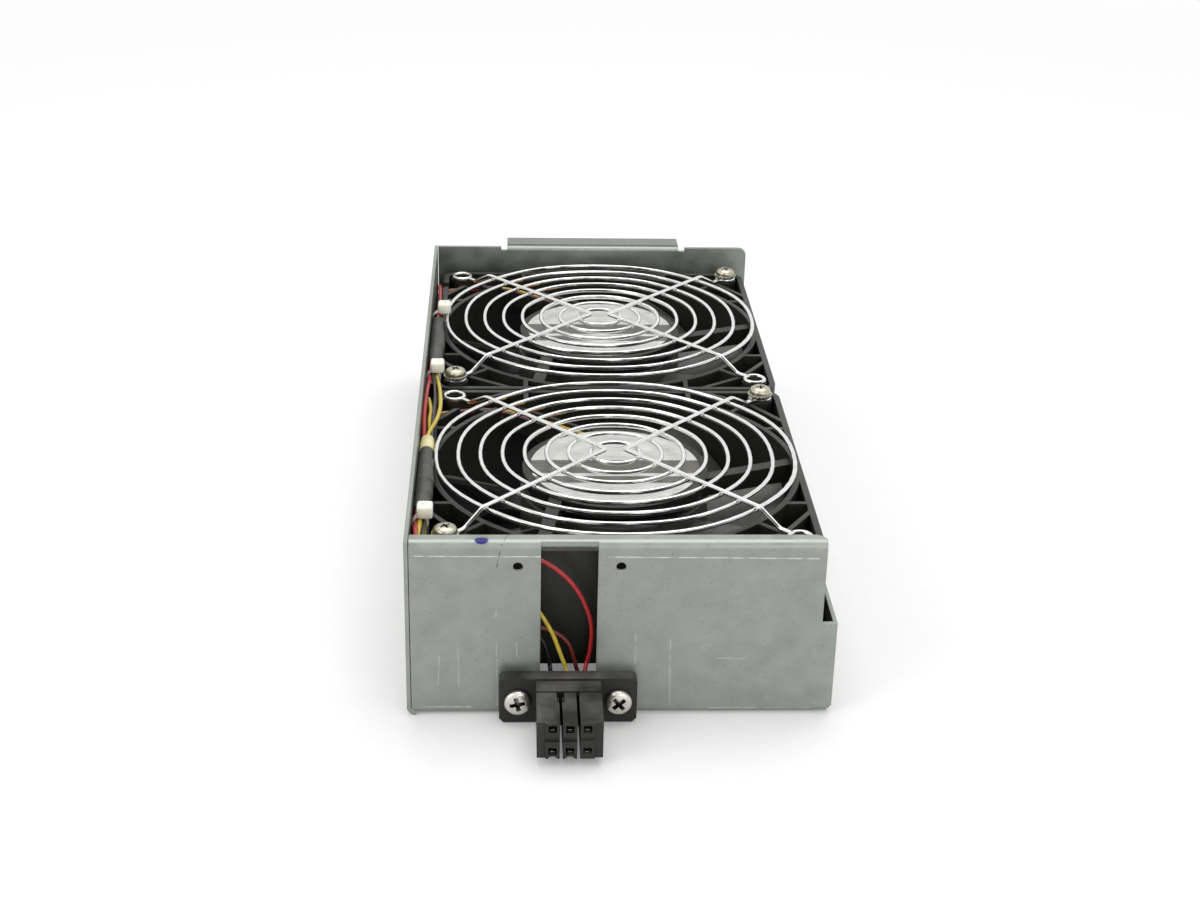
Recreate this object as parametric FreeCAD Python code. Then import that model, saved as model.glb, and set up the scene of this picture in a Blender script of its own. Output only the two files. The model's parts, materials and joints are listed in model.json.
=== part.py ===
import FreeCAD, Part
import math
import os

# Hot-swap fan tray of a server: two axial fans in a row in a bent sheet-steel tray,
# strut side up, with chrome finger guards and a blind-mate connector on the front wall.
# Millimetres. X to the right, Y from the connector end to the pull lip, Z up.
# Origin: underside of the tray floor, midway between the two fan axes.

Vec = FreeCAD.Vector

# Fan frame
fan_size = 119.0
fan_depth = 38.0
fan_gap = 1.4
hole_inset = 7.1
hole_radius = 2.2
frame_corner = 5.5
frame_wall = 2.0
duct_inset = 2.5
duct_wall = 1.8
pocket_depth = 32.0
boss_radius = 4.2
rib_thickness = 1.6
rib_foot_drop = 19.4
rib_short_drop = 24.5
rib_short_reach = 7.0
strut_width = 4.2
strut_depth = 6.0
strut_drop = 1.5
strut_count = 3
strut_start_angle = -10.9
strut_end_angle = 5.5
strut_sink = 3.0
base_inset = 0.5
base_thickness = 4.0
base_drop = 1.0
lead_strut_angle = 120.0
lead_strut_width = 7.4
lead_start_inset = 5.0
lead_bend_gap = 2.4
lead_boss_gap = 4.2
lead_bend_room = 5.0
channel_slack = 0.4

# Motor
tube_radius = 5.5
tube_length = 23.0
bearing_radius = 4.0
bearing_bore_radius = 1.53
bearing_length = 4.0
bearing_shoulder = 3.4
bearing_inset = 0.5
bearing_sink = 1.0
shaft_radius = 1.5
clip_radius = 2.6
clip_thickness = 0.6
clip_gap = 0.1
clip_mouth = 2.1
board_inset = 5.5
board_thickness = 1.6
air_gap = 0.76
stator_height = 11.0
stator_drop = 7.0
pole_count = 4
pole_width = 6.0
pole_tip = 4.0
shoe_width = 20.0
coil_wall = 3.0
coil_start = 9.0
coil_overhang = 2.5
label_inset = 2.5
label_thickness = 0.3

# Rotor
hub_radius = 30.0
hub_wall = 1.6
hub_floor = 2.0
hub_bottom = 2.0
hub_top_gap = 0.5
cup_wall = 1.2
cup_rim = 0.5
cup_boss_radius = 3.5
boss_gap = 0.3
magnet_thickness = 4.5
magnet_bottom = 12.0
magnet_top_inset = 1.0
tip_gap = 1.0
blade_count = 7
blade_bottom = 3.5
blade_top_gap = 1.2
blade_sweep = 34.0
blade_camber = 3.2
blade_thickness = 1.7
blade_sink = 1.1

# Tray
sheet = 1.2
inner_bend = 1.2
tray_height = 57.0
right_wall_height = 30.5
left_gap = 2.9
right_gap = 1.2
front_gap = 10.6
rear_gap = 5.8
front_flange = 5.0
flange_corner = 3.6
front_cut_back = 4.5
corner_radius = 3.0
seam = 0.2
relief_radius = 1.7
lip_width = 69.0
lip_depth = 11.6
lip_bend = 0.2
lip_relief = 2.4
air_inset = 1.0
standoff_height = 9.0
standoff_flats = 7.0
standoff_thread_depth = 7.0

# Connector and its place on the front wall
connector_x = -16.4
slot_width = 16.4
slot_bottom = 3.2
connector_hole_spacing = 29.5
connector_hole_z = 7.4
spare_hole_z = 49.2
tapped_radius = 1.45
flange_width = 40.3
flange_bottom = 0.1
flange_top = 14.8
flange_thickness = 4.5
flange_chamfer = 1.3
flange_hole_radius = 1.9
nose_width = 18.8
nose_bottom = 2.4
nose_top = 14.1
nose_length = 22.7
column_pitch = 4.95
column_width = 4.1
upper_row_z = 12.1
lower_row_z = 4.8
cavity_size = 2.4
nose_step = 0.6
nose_groove_y = 5.6
nose_groove_width = 0.7
row_groove_z = 8.8
row_groove_height = 1.7
groove_depth = 0.8
key_width = 2.2
key_length = 6.0
key_depth = 2.0
scallop_radius = 1.6
scallop_depth = 2.0
scallop_drop = 0.8
spigot_width = 15.6
spigot_bottom = 3.5
spigot_top = 13.6
spigot_reach = 0.3
contact_inset = 1.6
contact_bore = 0.65

# Finger guards
guard_inset = 0.2
inner_ring_radius = 7.8
ring_count = 8
ring_chord = 6.0
ring_least_count = 18
guard_wire = 1.5
ring_rise = 3.0
spoke_sink = 0.15
spoke_vertex = 3.0
spoke_flat_count = 6
knee_reach = 1.8
knee_bend = 2.0
foot_inset = 7.7
foot_bend = 1.6
eyelet_radius = 3.3

# Screws
fan_screw_radius = 1.95
fan_screw_reach = 6.0
head_radius = 4.3
head_height = 3.2
small_head_radius = 3.95
small_head_height = 2.4
small_screw_reach = 3.0
head_crown_ratio = 0.8

# Wiring; places along the bundle are measured from the axis of the front or of the rear fan
wire_radius = 0.65
wire_flat_count = 4
lead_slack = 0.2
lead_bend = 4.0
lead_round_ratio = 0.45
lane_rise = 1.7
bundle_inset = 0.38
bundle_hold = 8.0
rear_run = (13.8, -59.2)
front_run = (16.2, -49.8)
rear_bows = {"red": (-0.6, 39.2, 3.9), "yellow": (3.0, 40.2, 4.8), "black": (1.5, 40.2, 1.5)}
red_hump = (-1.0, -56.8, 3.3)
sleeve_wall = 0.4
sleeve_length = 42.0
rear_sleeve_y = -23.7
front_sleeve_y = -18.7
collar_y = 7.2
collar_length = 9.0
collar_wall = 0.43
tie_stations = {"rear": ("rear", 2.5), "middle": ("rear", -55.0), "front": ("front", -46.1)}
tie_wall = 0.45
tie_width = 2.5
tie_head = (4.8, 5.2, 4.0)
tie_head_left = 1.0
tie_head_rise = 1.95

# Ways (x, z) of the leads down the front gap: high ones from the bundle, low ones from the contact
gap_planes = {"wall": 3.9, "second": 5.3, "third": 6.8, "fan": 8.3}
rear_high_ways = {
    "red": [(-0.32, 3.78), (29.88, 1.18)],
    "yellow": [(-0.32, 2.18), (11.88, -5.82)],
    "black": [(1.28, 1.98), (7.88, -15.82)],
}
rear_low_ways = {
    "red": [(-3.05, 31.4), (2.25, 16.9), (1.65, 6.4)],
    "yellow": [(-12.6, 26.4), (-5.1, 14.9), (-1.2, 4.9)],
    "black": [(-7.65, 17.9), (-1.85, 8.9), (-0.65, 3.9)],
}
front_high_ways = {
    "brown": [(-1.12, 0.68), (4.88, -18.82)],
    "yellow": [(1.88, 0.68), (2.88, -37.82)],
    "red": [(0.38, 0.68), (0.38, -40.82)],
}
front_low_ways = {
    "brown": [(-18.55, 22.2), (-6.05, 15.7), (-1.95, 5.7)],
    "yellow": [(-28.65, 2.2), (-4.65, 2.2)],
    "red": [(-36.6, -1.8), (-4.6, -1.8)],
}

# Clearances
slip = 0.02
thread_slip = 0.03
lay = 0.05
bundle_lay = 0.03
sleeve_slip = 0.04
bundle_lift = 0.15
past = 1.0

# Places worked out from the sizes above
fan_pitch = fan_size + fan_gap
fan_bottom = sheet + standoff_height
fan_top = fan_bottom + fan_depth
half_fan = fan_size / 2
half_holes = half_fan - hole_inset
duct_radius = half_fan - duct_inset
base_radius = hub_radius - base_inset
label_radius = base_radius - label_inset
board_flats = 2 * (base_radius - board_inset)
rib_foot = half_holes - rib_foot_drop
rib_short = half_holes - rib_short_drop
tray_left = -half_fan - left_gap - sheet
tray_right = half_fan + right_gap + sheet
front_y = -(fan_pitch / 2 + half_fan + front_gap + sheet)
rear_y = fan_pitch / 2 + half_fan + rear_gap + sheet
outer_bend = inner_bend + sheet
lip_outer_bend = lip_bend + sheet
fan_places = {"front": -fan_pitch / 2, "rear": fan_pitch / 2}
strut_top = fan_top - strut_drop
base_top = fan_top - base_drop
base_bottom = base_top - base_thickness
tube_bottom = base_bottom - tube_length
lower_bearing = tube_bottom + bearing_inset
upper_bearing = base_bottom - bearing_length + bearing_sink
lead_pitch = 2 * wire_radius + lead_slack
wire_level = strut_top - lead_pitch
channel_width = 3 * lead_pitch + channel_slack
rotor_bottom = fan_bottom + hub_bottom
hub_top = strut_top - strut_depth - hub_top_gap
tip_radius = duct_radius - tip_gap
cup_outer = hub_radius - hub_wall - slip
cup_inner = cup_outer - cup_wall
magnet_outer = cup_inner - slip
magnet_inner = magnet_outer - magnet_thickness
stator_radius = magnet_inner - air_gap
air_opening_radius = duct_radius - air_inset
guard_radius = duct_radius - guard_inset
ring_pitch = (guard_radius - inner_ring_radius) / (ring_count - 1)
knee_radius = guard_radius + knee_reach
foot_radius = math.hypot(half_holes, half_holes) - foot_inset
ring_z = fan_top + guard_wire / 2 + ring_rise
spoke_z = ring_z + guard_wire - spoke_sink
eyelet_z = fan_top + guard_wire / 2
bundle_radius = 2 * wire_radius + bundle_lay
sleeve_inner = bundle_radius + wire_radius + sleeve_slip
sleeve_outer = sleeve_inner + sleeve_wall
collar_outer = sleeve_inner + collar_wall
tie_outer = sleeve_inner + tie_wall
bundle_x = -half_fan - bundle_inset
bundle_z = fan_top + tie_outer + bundle_lift
diagonal = math.sqrt(0.5)


def box(x0, x1, y0, y1, z0, z1):
    return Part.makeBox(x1 - x0, y1 - y0, z1 - z0, Vec(x0, y0, z0))


def rod(radius, z0, z1, x=0.0, y=0.0):
    return Part.makeCylinder(radius, z1 - z0, Vec(x, y, z0))


def rod_y(radius, y0, y1, x, z):
    return Part.makeCylinder(radius, y1 - y0, Vec(x, y0, z), Vec(0, 1, 0))


def tube(outer, inner, z0, z1):
    return rod(outer, z0, z1).cut(rod(inner, z0, z1))


def tube_y(outer, inner, y0, y1, x, z):
    return rod_y(outer, y0, y1, x, z).cut(rod_y(inner, y0, y1, x, z))


def fuse(shapes):
    first, rest = shapes[0], shapes[1:]
    return first.fuse(rest).removeSplitter() if rest else first


def group(shapes):
    return Part.makeCompound(shapes)


def turned(shape, degrees, x=0.0, y=0.0):
    copy = shape.copy()
    copy.rotate(Vec(x, y, 0), Vec(0, 0, 1), degrees)
    return copy


def moved(shape, x=0.0, y=0.0, z=0.0):
    copy = shape.copy()
    copy.translate(Vec(x, y, z))
    return copy


def rounded_path(points, radii, closed):
    """Edges through the points, each corner rounded by a tangent arc of its radius."""
    count = len(points)
    edges = []
    last = None
    first = None
    for i, corner in enumerate(points):
        radius = radii[i]
        if radius:
            back = (points[i - 1] - corner).normalize()
            ahead = (points[(i + 1) % count] - corner).normalize()
            half = back.getAngle(ahead) / 2
            reach = radius / math.tan(half)
            middle = (back + ahead).normalize()
            start = corner + back * reach
            end = corner + ahead * reach
            crown = corner + middle * (radius / math.sin(half) - radius)
        else:
            start = end = corner
        if last is not None:
            edges.append(Part.LineSegment(last, start).toShape())
        else:
            first = start
        if radius:
            edges.append(Part.Arc(start, crown, end).toShape())
        last = end
    if closed:
        edges.append(Part.LineSegment(last, first).toShape())
    return Part.Wire(edges)


def prism(corners, along, place):
    """Solid from a flat outline of (a, b, radius) corners, placed in space and drawn out."""
    points = [place(a, b) for a, b, radius in corners]
    radii = [radius for a, b, radius in corners]
    return Part.Face(rounded_path(points, radii, True)).extrude(along)


def polygon_bar(sides, flats, z0, z1, x, y):
    corner = flats / 2 / math.cos(math.pi / sides)
    turns = [2 * math.pi * k / sides for k in range(sides)]
    ring = [(x + corner * math.cos(t), y + corner * math.sin(t), 0) for t in turns]
    return prism(ring, Vec(0, 0, z1 - z0), lambda a, b: Vec(a, b, z0))


def wall_section(corners, y0, y1):
    """Bent strip drawn along Y from its section across the tray."""
    return prism(corners, Vec(0, y1 - y0, 0), lambda x, z: Vec(x, y0, z))


def trough_section(corners, x0, x1):
    """Bent strip drawn along X from its section down the length of the tray."""
    return prism(corners, Vec(x1 - x0, 0, 0), lambda y, z: Vec(x0, y, z))


def tray_trough():
    """Floor with the front wall and its top flange and the rear wall, bent from one blank."""
    flange_back = front_y + front_flange
    section = [
        (flange_back, tray_height, 0),
        (front_y, tray_height, outer_bend),
        (front_y, 0, outer_bend),
        (rear_y, 0, outer_bend),
        (rear_y, tray_height, 0),
        (rear_y - sheet, tray_height, 0),
        (rear_y - sheet, sheet, inner_bend),
        (front_y + sheet, sheet, inner_bend),
        (front_y + sheet, tray_height - sheet, inner_bend),
        (flange_back, tray_height - sheet, 0),
    ]
    return trough_section(section, tray_left + sheet + seam, tray_right - sheet - seam)


def tray_side(side, height, y0):
    """Side wall with its bend into the floor; side is -1 on the left and 1 on the right."""
    outer = tray_left if side < 0 else tray_right
    inner = outer - side * sheet
    root = outer - side * (outer_bend + seam)
    section = [
        (root, 0, 0),
        (outer, 0, outer_bend),
        (outer, height, 0),
        (inner, height, 0),
        (inner, sheet, inner_bend),
        (root, sheet, 0),
    ]
    return wall_section(section, y0, rear_y)


def pull_lip():
    """Tab of the rear wall bent outwards, to pull the tray by."""
    inner_face = rear_y - sheet
    root = tray_height - lip_outer_bend - lip_relief
    section = [
        (inner_face, root, 0),
        (inner_face, tray_height, lip_outer_bend),
        (inner_face + lip_depth, tray_height, 0),
        (inner_face + lip_depth, tray_height - sheet, 0),
        (rear_y, tray_height - sheet, lip_bend),
        (rear_y, root, 0),
    ]
    return trough_section(section, -lip_width / 2, lip_width / 2)


def corner_cutter(radius, length):
    """What rounding takes off an outer corner that stands at the origin, towards -X and -Z."""
    square = Part.makeBox(radius * 2, length, radius * 2, Vec(-radius, 0, -radius))
    return square.cut(rod_y(radius, 0, length, -radius, -radius))


def tray_corners(upper_end):
    """What is rounded off the rear wall's right top corner and the front flange's right back corner."""
    rear = corner_cutter(corner_radius, 3 * sheet)
    front = corner_cutter(flange_corner, 3 * sheet)
    front.rotate(Vec(0, 0, 0), Vec(1, 0, 0), -90)
    return [
        moved(rear, tray_right, rear_y - 2 * sheet, tray_height),
        moved(front, upper_end, front_y + front_flange, tray_height + past),
    ]


def tray_holes():
    """Tapped holes of the front wall, air openings of the floor and bend reliefs at its corners."""
    holes = []
    for x in (connector_x - connector_hole_spacing / 2, connector_x + connector_hole_spacing / 2):
        for z in (connector_hole_z, spare_hole_z):
            holes.append(rod_y(tapped_radius, front_y - past, front_y + sheet + past, x, z))
    for y in fan_places.values():
        holes.append(rod(air_opening_radius, -past, sheet + past, 0, y))
    for x in (tray_left + outer_bend, tray_right - outer_bend):
        for y in (front_y + outer_bend, rear_y - outer_bend):
            holes.append(rod(relief_radius, -past, outer_bend + seam, x, y))
    return holes


def tray():
    wall_end = tray_right - sheet - seam
    upper_end = tray_right - front_cut_back
    far = tray_right + past
    above = tray_height + past
    body = fuse([
        tray_trough(),
        tray_side(-1, tray_height, front_y),
        tray_side(1, right_wall_height, front_y + sheet + seam),
        box(wall_end, tray_right, front_y, front_y + sheet, outer_bend, right_wall_height),
        box(wall_end, tray_right, rear_y - sheet, rear_y, right_wall_height + seam, tray_height),
    ])
    step = box(upper_end, far, front_y - past, front_y + front_flange + past, right_wall_height, above)
    lip_half = lip_width / 2 + lip_relief
    lip_root = tray_height - lip_outer_bend
    lip_notch = box(-lip_half, lip_half, rear_y - sheet - past, rear_y + past, lip_root, above)
    slot_left = connector_x - slot_width / 2
    slot_right = connector_x + slot_width / 2
    slot = box(slot_left, slot_right, front_y - past, front_y + sheet, slot_bottom, above)
    cutters = [step, lip_notch, slot] + tray_corners(upper_end) + tray_holes()
    return body.cut(cutters).fuse(pull_lip()).removeSplitter()


def corner_points(y):
    return [(sx * half_holes, y + sy * half_holes) for sx in (-1, 1) for sy in (-1, 1)]


def floor_standoffs():
    """Threaded hex spacers that carry the fans clear of the floor."""
    posts = []
    for fan_y in fan_places.values():
        for x, y in corner_points(fan_y):
            post = polygon_bar(6, standoff_flats, sheet, fan_bottom, x, y)
            thread_end = fan_bottom - standoff_thread_depth
            posts.append(post.cut(rod(fan_screw_radius + thread_slip, thread_end, fan_bottom, x, y)))
    return group(posts)


def square(half, corner, z0, z1):
    sides = [(-half, -half, corner), (half, -half, corner), (half, half, corner), (-half, half, corner)]
    return prism(sides, Vec(0, 0, z1 - z0), lambda a, b: Vec(a, b, z0))


def bar(start, end, width, z0, z1):
    """Upright web of one thickness between two points of the plan."""
    along = (Vec(end[0], end[1], 0) - Vec(start[0], start[1], 0)).normalize()
    side = Vec(-along.y, along.x, 0) * (width / 2)
    a = Vec(start[0], start[1], z0)
    b = Vec(end[0], end[1], z0)
    outline = Part.makePolygon([a - side, b - side, b + side, a + side, a - side])
    return Part.Face(outline).extrude(Vec(0, 0, z1 - z0))


def corner_webs(z0, z1):
    """Screw boss of one corner with the ribs that tie it to the duct and to both walls."""
    inside = half_fan - frame_wall / 2
    inner_boss = half_holes - boss_radius
    duct_end = duct_radius * diagonal
    webs = [
        rod(boss_radius, z0, z1, half_holes, half_holes),
        bar((duct_end, duct_end), (half_holes, half_holes), rib_thickness, z0, z1),
    ]
    for swap in (False, True):
        lines = [
            ((inner_boss, inner_boss), (inside, rib_foot)),
            ((duct_radius - rib_short_reach, rib_short), (inside, rib_short)),
        ]
        for a, b in lines:
            ends = (a[::-1], b[::-1]) if swap else (a, b)
            webs.append(bar(ends[0], ends[1], rib_thickness, z0, z1))
    return webs


def strut_ends():
    """Plan ends of the strut that leans at three o'clock, before it is turned to its place."""
    reach = duct_radius + duct_wall / 2
    start = turned_point(Vec(base_radius, 0, 0), strut_start_angle)
    end = turned_point(Vec(reach, 0, 0), strut_end_angle)
    return start, end


def strut(width):
    start, end = strut_ends()
    root = start - (end - start).normalize() * strut_sink
    return bar((root.x, root.y), (end.x, end.y), width, strut_top - strut_depth, strut_top)


def lead_line():
    """Where the leads leave the motor, bend behind the duct and cross the frame's left wall."""
    start, end = (turned_point(point, lead_strut_angle) for point in strut_ends())
    along = (end - start).normalize()
    bend = end + along * lead_bend_gap
    crossing = Vec(-half_fan - left_gap / 2, half_holes - boss_radius - lead_boss_gap, 0)
    return start - along * lead_start_inset, bend, crossing


def turned_point(point, degrees):
    return FreeCAD.Rotation(Vec(0, 0, 1), degrees).multVec(point)


def fan_frame():
    """Moulded frame about its own axis: square shell, duct, ribbed corners, struts, motor base."""
    block = square(half_fan, frame_corner, fan_bottom, fan_top)
    pocket_floor = fan_top - pocket_depth
    pocket = square(half_fan - frame_wall, frame_corner - frame_wall, pocket_floor, fan_top)
    webs = corner_webs(pocket_floor, fan_top)
    keep = [rod(duct_radius + duct_wall, pocket_floor, fan_top)]
    keep += [turned(web, 90 * k) for k in range(4) for web in webs]
    shell = block.cut(pocket.cut(keep)).cut(rod(duct_radius, fan_bottom, fan_top))
    holes = [rod(hole_radius, fan_bottom, fan_top, x, y) for x, y in corner_points(0)]
    shell = shell.cut(holes)

    pieces = [shell, rod(base_radius, base_bottom, base_top), rod(tube_radius, tube_bottom, base_top)]
    pieces += [turned(strut(strut_width), 360 / strut_count * k) for k in range(strut_count)]
    pieces.append(turned(strut(lead_strut_width), lead_strut_angle))
    body = fuse(pieces)

    lead_start, bend, crossing = lead_line()
    floor = wire_level - wire_radius - lay
    wall_end = crossing - Vec(left_gap, 0, 0)
    well = bar((lead_start.x, lead_start.y), (bend.x, bend.y), channel_width, floor, fan_top)
    return body.cut([
        well,
        bar((bend.x, bend.y), (wall_end.x, wall_end.y), channel_width, floor, fan_top),
        rod(lead_bend_room, floor, fan_top, bend.x, bend.y),
        rod(channel_width / 2, base_bottom, fan_top, lead_start.x, lead_start.y),
        rod(bearing_shoulder, tube_bottom, base_top),
        rod(bearing_radius, tube_bottom, lower_bearing + bearing_length),
        rod(bearing_radius, upper_bearing, base_top),
    ])


def fan_label():
    return rod(label_radius, base_top, base_top + label_thickness)


def circuit_board():
    """Eight-sided driver board under the motor base, around the bearing tube."""
    bottom = base_bottom - board_thickness
    board = polygon_bar(8, board_flats, bottom, base_bottom, 0, 0)
    return board.cut(rod(tube_radius + slip, bottom, base_bottom))


def stator_levels():
    top = base_bottom - stator_drop
    return top - stator_height, top


def shoe_face():
    return stator_radius - pole_tip


def stator_core():
    """Laminated core: arms from a square middle to pole shoes that follow the air gap."""
    z0, z1 = stator_levels()
    middle = coil_start - slip
    arm = box(0, stator_radius, -pole_width / 2, pole_width / 2, z0, z1)
    shoe = box(shoe_face(), stator_radius, -shoe_width / 2, shoe_width / 2, z0, z1)
    pole = fuse([arm, shoe]).common(rod(stator_radius, z0, z1))
    poles = [turned(pole, 360 / pole_count * k) for k in range(pole_count)]
    core = fuse([box(-middle, middle, -middle, middle, z0, z1)] + poles)
    return core.cut(rod(tube_radius + slip, z0, z1))


def stator_coils():
    """One wound coil on each pole."""
    z0, z1 = stator_levels()
    outside = pole_width / 2 + coil_wall
    inside = pole_width / 2 + slip
    reach = shoe_face() - slip
    coil = box(coil_start, reach, -outside, outside, z0 - coil_overhang, z1 + coil_overhang)
    coil = coil.cut(box(0, stator_radius, -inside, inside, z0 - slip, z1 + slip))
    return group([turned(coil, 360 / pole_count * k) for k in range(pole_count)])


def ball_bearing(bottom):
    return tube(bearing_radius - slip, bearing_bore_radius, bottom, bottom + bearing_length)


def blade():
    """Cambered blade that widens from hub to tip like a sector, trimmed to the duct."""
    z0 = fan_bottom + blade_bottom
    z1 = hub_top - blade_top_gap
    root = hub_radius - blade_sink
    chord = Vec(0, blade_sweep / 2, (z1 - z0) / 2)
    across = Vec(0, chord.z, -chord.y).normalize()
    centre = Vec(0, 0, (z0 + z1) / 2)
    bow = across * blade_camber
    skin = across * (blade_thickness / 2)
    section = Part.Wire([
        Part.Arc(centre - chord - skin, centre - bow - skin, centre + chord - skin).toShape(),
        Part.LineSegment(centre + chord - skin, centre + chord + skin).toShape(),
        Part.Arc(centre + chord + skin, centre - bow + skin, centre - chord + skin).toShape(),
        Part.LineSegment(centre - chord + skin, centre - chord - skin).toShape(),
    ])
    blank = Part.Face(section).extrude(Vec(duct_radius, 0, 0))
    half_turn = math.asin(blade_sweep / 2 / tip_radius)
    width = root * math.sin(half_turn)
    reach = root * math.cos(half_turn)
    end_x = tip_radius * math.cos(half_turn)
    end_y = tip_radius * math.sin(half_turn)
    plan = Part.Wire([
        Part.LineSegment(Vec(reach, -width, 0), Vec(end_x, -end_y, 0)).toShape(),
        Part.Arc(Vec(end_x, -end_y, 0), Vec(tip_radius, 0, 0), Vec(end_x, end_y, 0)).toShape(),
        Part.LineSegment(Vec(end_x, end_y, 0), Vec(reach, width, 0)).toShape(),
        Part.Arc(Vec(reach, width, 0), Vec(root, 0, 0), Vec(reach, -width, 0)).toShape(),
    ])
    return blank.common(Part.Face(plan).extrude(Vec(0, 0, fan_top)))


def impeller():
    inner = hub_radius - hub_wall
    hub = rod(hub_radius, rotor_bottom, hub_top).cut(rod(inner, rotor_bottom + hub_floor, hub_top))
    one = blade()
    return fuse([hub] + [turned(one, 360 / blade_count * k) for k in range(blade_count)])


def rotor_cup():
    """Drawn steel cup pressed in the hub, with the boss that holds the shaft."""
    floor = rotor_bottom + hub_floor
    cup = rod(cup_outer, floor, hub_top - cup_rim).cut(rod(cup_inner, floor + cup_wall, hub_top))
    boss = rod(cup_boss_radius, floor, lower_bearing - boss_gap)
    return fuse([cup, boss]).cut(rod(shaft_radius, floor, fan_top))


def rotor_magnet():
    return tube(magnet_outer, magnet_inner, fan_bottom + magnet_bottom, hub_top - magnet_top_inset)


def shaft_top():
    return upper_bearing + bearing_length + clip_gap + 2 * clip_thickness


def rotor_shaft():
    return rod(shaft_radius - slip, rotor_bottom + hub_floor, shaft_top())


def shaft_clip():
    bottom = upper_bearing + bearing_length + clip_gap
    ring = tube(clip_radius, shaft_radius, bottom, bottom + clip_thickness)
    return ring.cut(box(0, clip_radius, -clip_mouth / 2, clip_mouth / 2, bottom, bottom + clip_thickness))


def wire_ring(radius, x, y, z):
    """Closed ring of guard wire in short chords; the wire has four flats, set on edge."""
    half = guard_wire / 2
    section = [(radius + half, 0), (radius, half), (radius - half, 0), (radius, -half)]
    count = max(ring_least_count, round(2 * math.pi * radius / ring_chord))
    turns = [2 * math.pi * k / count for k in range(count)]
    stations = []
    for t in turns:
        stations.append([Vec(x + r * math.cos(t), y + r * math.sin(t), z + rise) for r, rise in section])
    faces = []
    for k, here in enumerate(stations):
        there = stations[(k + 1) % count]
        for i in range(len(section)):
            j = (i + 1) % len(section)
            faces.append(Part.Face(Part.makePolygon([here[i], there[i], there[j], here[j], here[i]])))
    return Part.Solid(Part.Shell(faces))


def swept(points, radii, wire_size, sides):
    """Wire of many flats swept along a rounded path."""
    path = rounded_path(points, radii, False)
    along = (points[1] - points[0]).normalize()
    ring = [
        Vec(
            wire_size * math.cos(2 * math.pi * k / sides),
            wire_size * math.sin(2 * math.pi * k / sides),
            0,
        )
        for k in range(sides)
    ]
    outline = Part.makePolygon(ring + ring[:1])
    outline.Placement = FreeCAD.Placement(points[0], FreeCAD.Rotation(Vec(0, 0, 1), along))
    return path.makePipeShell([outline], True, False)


def guard_spoke(side):
    """V-shaped wire over the rings, stepping down outside them to an eyelet at each end."""
    foot = foot_radius * diagonal
    knee = knee_radius * diagonal
    end = half_holes - eyelet_radius * diagonal
    points = [
        Vec(side * end, end, eyelet_z),
        Vec(side * foot, foot, eyelet_z),
        Vec(side * knee, knee, spoke_z),
        Vec(side * spoke_vertex, 0, spoke_z),
        Vec(side * knee, -knee, spoke_z),
        Vec(side * foot, -foot, eyelet_z),
        Vec(side * end, -end, eyelet_z),
    ]
    bends = [0, foot_bend, knee_bend, spoke_vertex, knee_bend, foot_bend, 0]
    return swept(points, bends, guard_wire / 2, spoke_flat_count)


def finger_guard():
    radii = [guard_radius - ring_pitch * k for k in range(ring_count)]
    wires = [wire_ring(radius, 0, 0, ring_z) for radius in radii]
    wires += [wire_ring(eyelet_radius, x, y, eyelet_z) for x, y in corner_points(0)]
    wires += [guard_spoke(side) for side in (-1, 1)]
    return fuse(wires)


def pan_head(radius, height):
    """Low tapering head, standing on the plane Z = 0."""
    return Part.makeCone(radius, radius * head_crown_ratio, height)


def fan_screws():
    """Long flanged screws on one diagonal of each fan, through guard and frame."""
    seat = fan_top + guard_wire + lay
    head = moved(pan_head(head_radius, head_height), 0, 0, seat)
    screw = fuse([rod(fan_screw_radius, fan_bottom - fan_screw_reach, seat), head])
    places = [(side * half_holes, y + side * half_holes) for y in fan_places.values() for side in (-1, 1)]
    return group([moved(screw, x, y) for x, y in places])


def connector_screws():
    """Pan-head screws through the connector flange into the tapped front wall."""
    shank = rod(tapped_radius - thread_slip, -flange_thickness - small_screw_reach, 0)
    screw = fuse([shank, pan_head(small_head_radius, small_head_height)])
    screw.rotate(Vec(), Vec(1, 0, 0), 90)
    places = (connector_x - connector_hole_spacing / 2, connector_x + connector_hole_spacing / 2)
    return group([moved(screw, x, front_y - flange_thickness, connector_hole_z) for x in places])


def cavities():
    columns = [connector_x + column_pitch * k for k in (-1, 0, 1)]
    return [(x, z) for z in (upper_row_z, lower_row_z) for x in columns]


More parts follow.
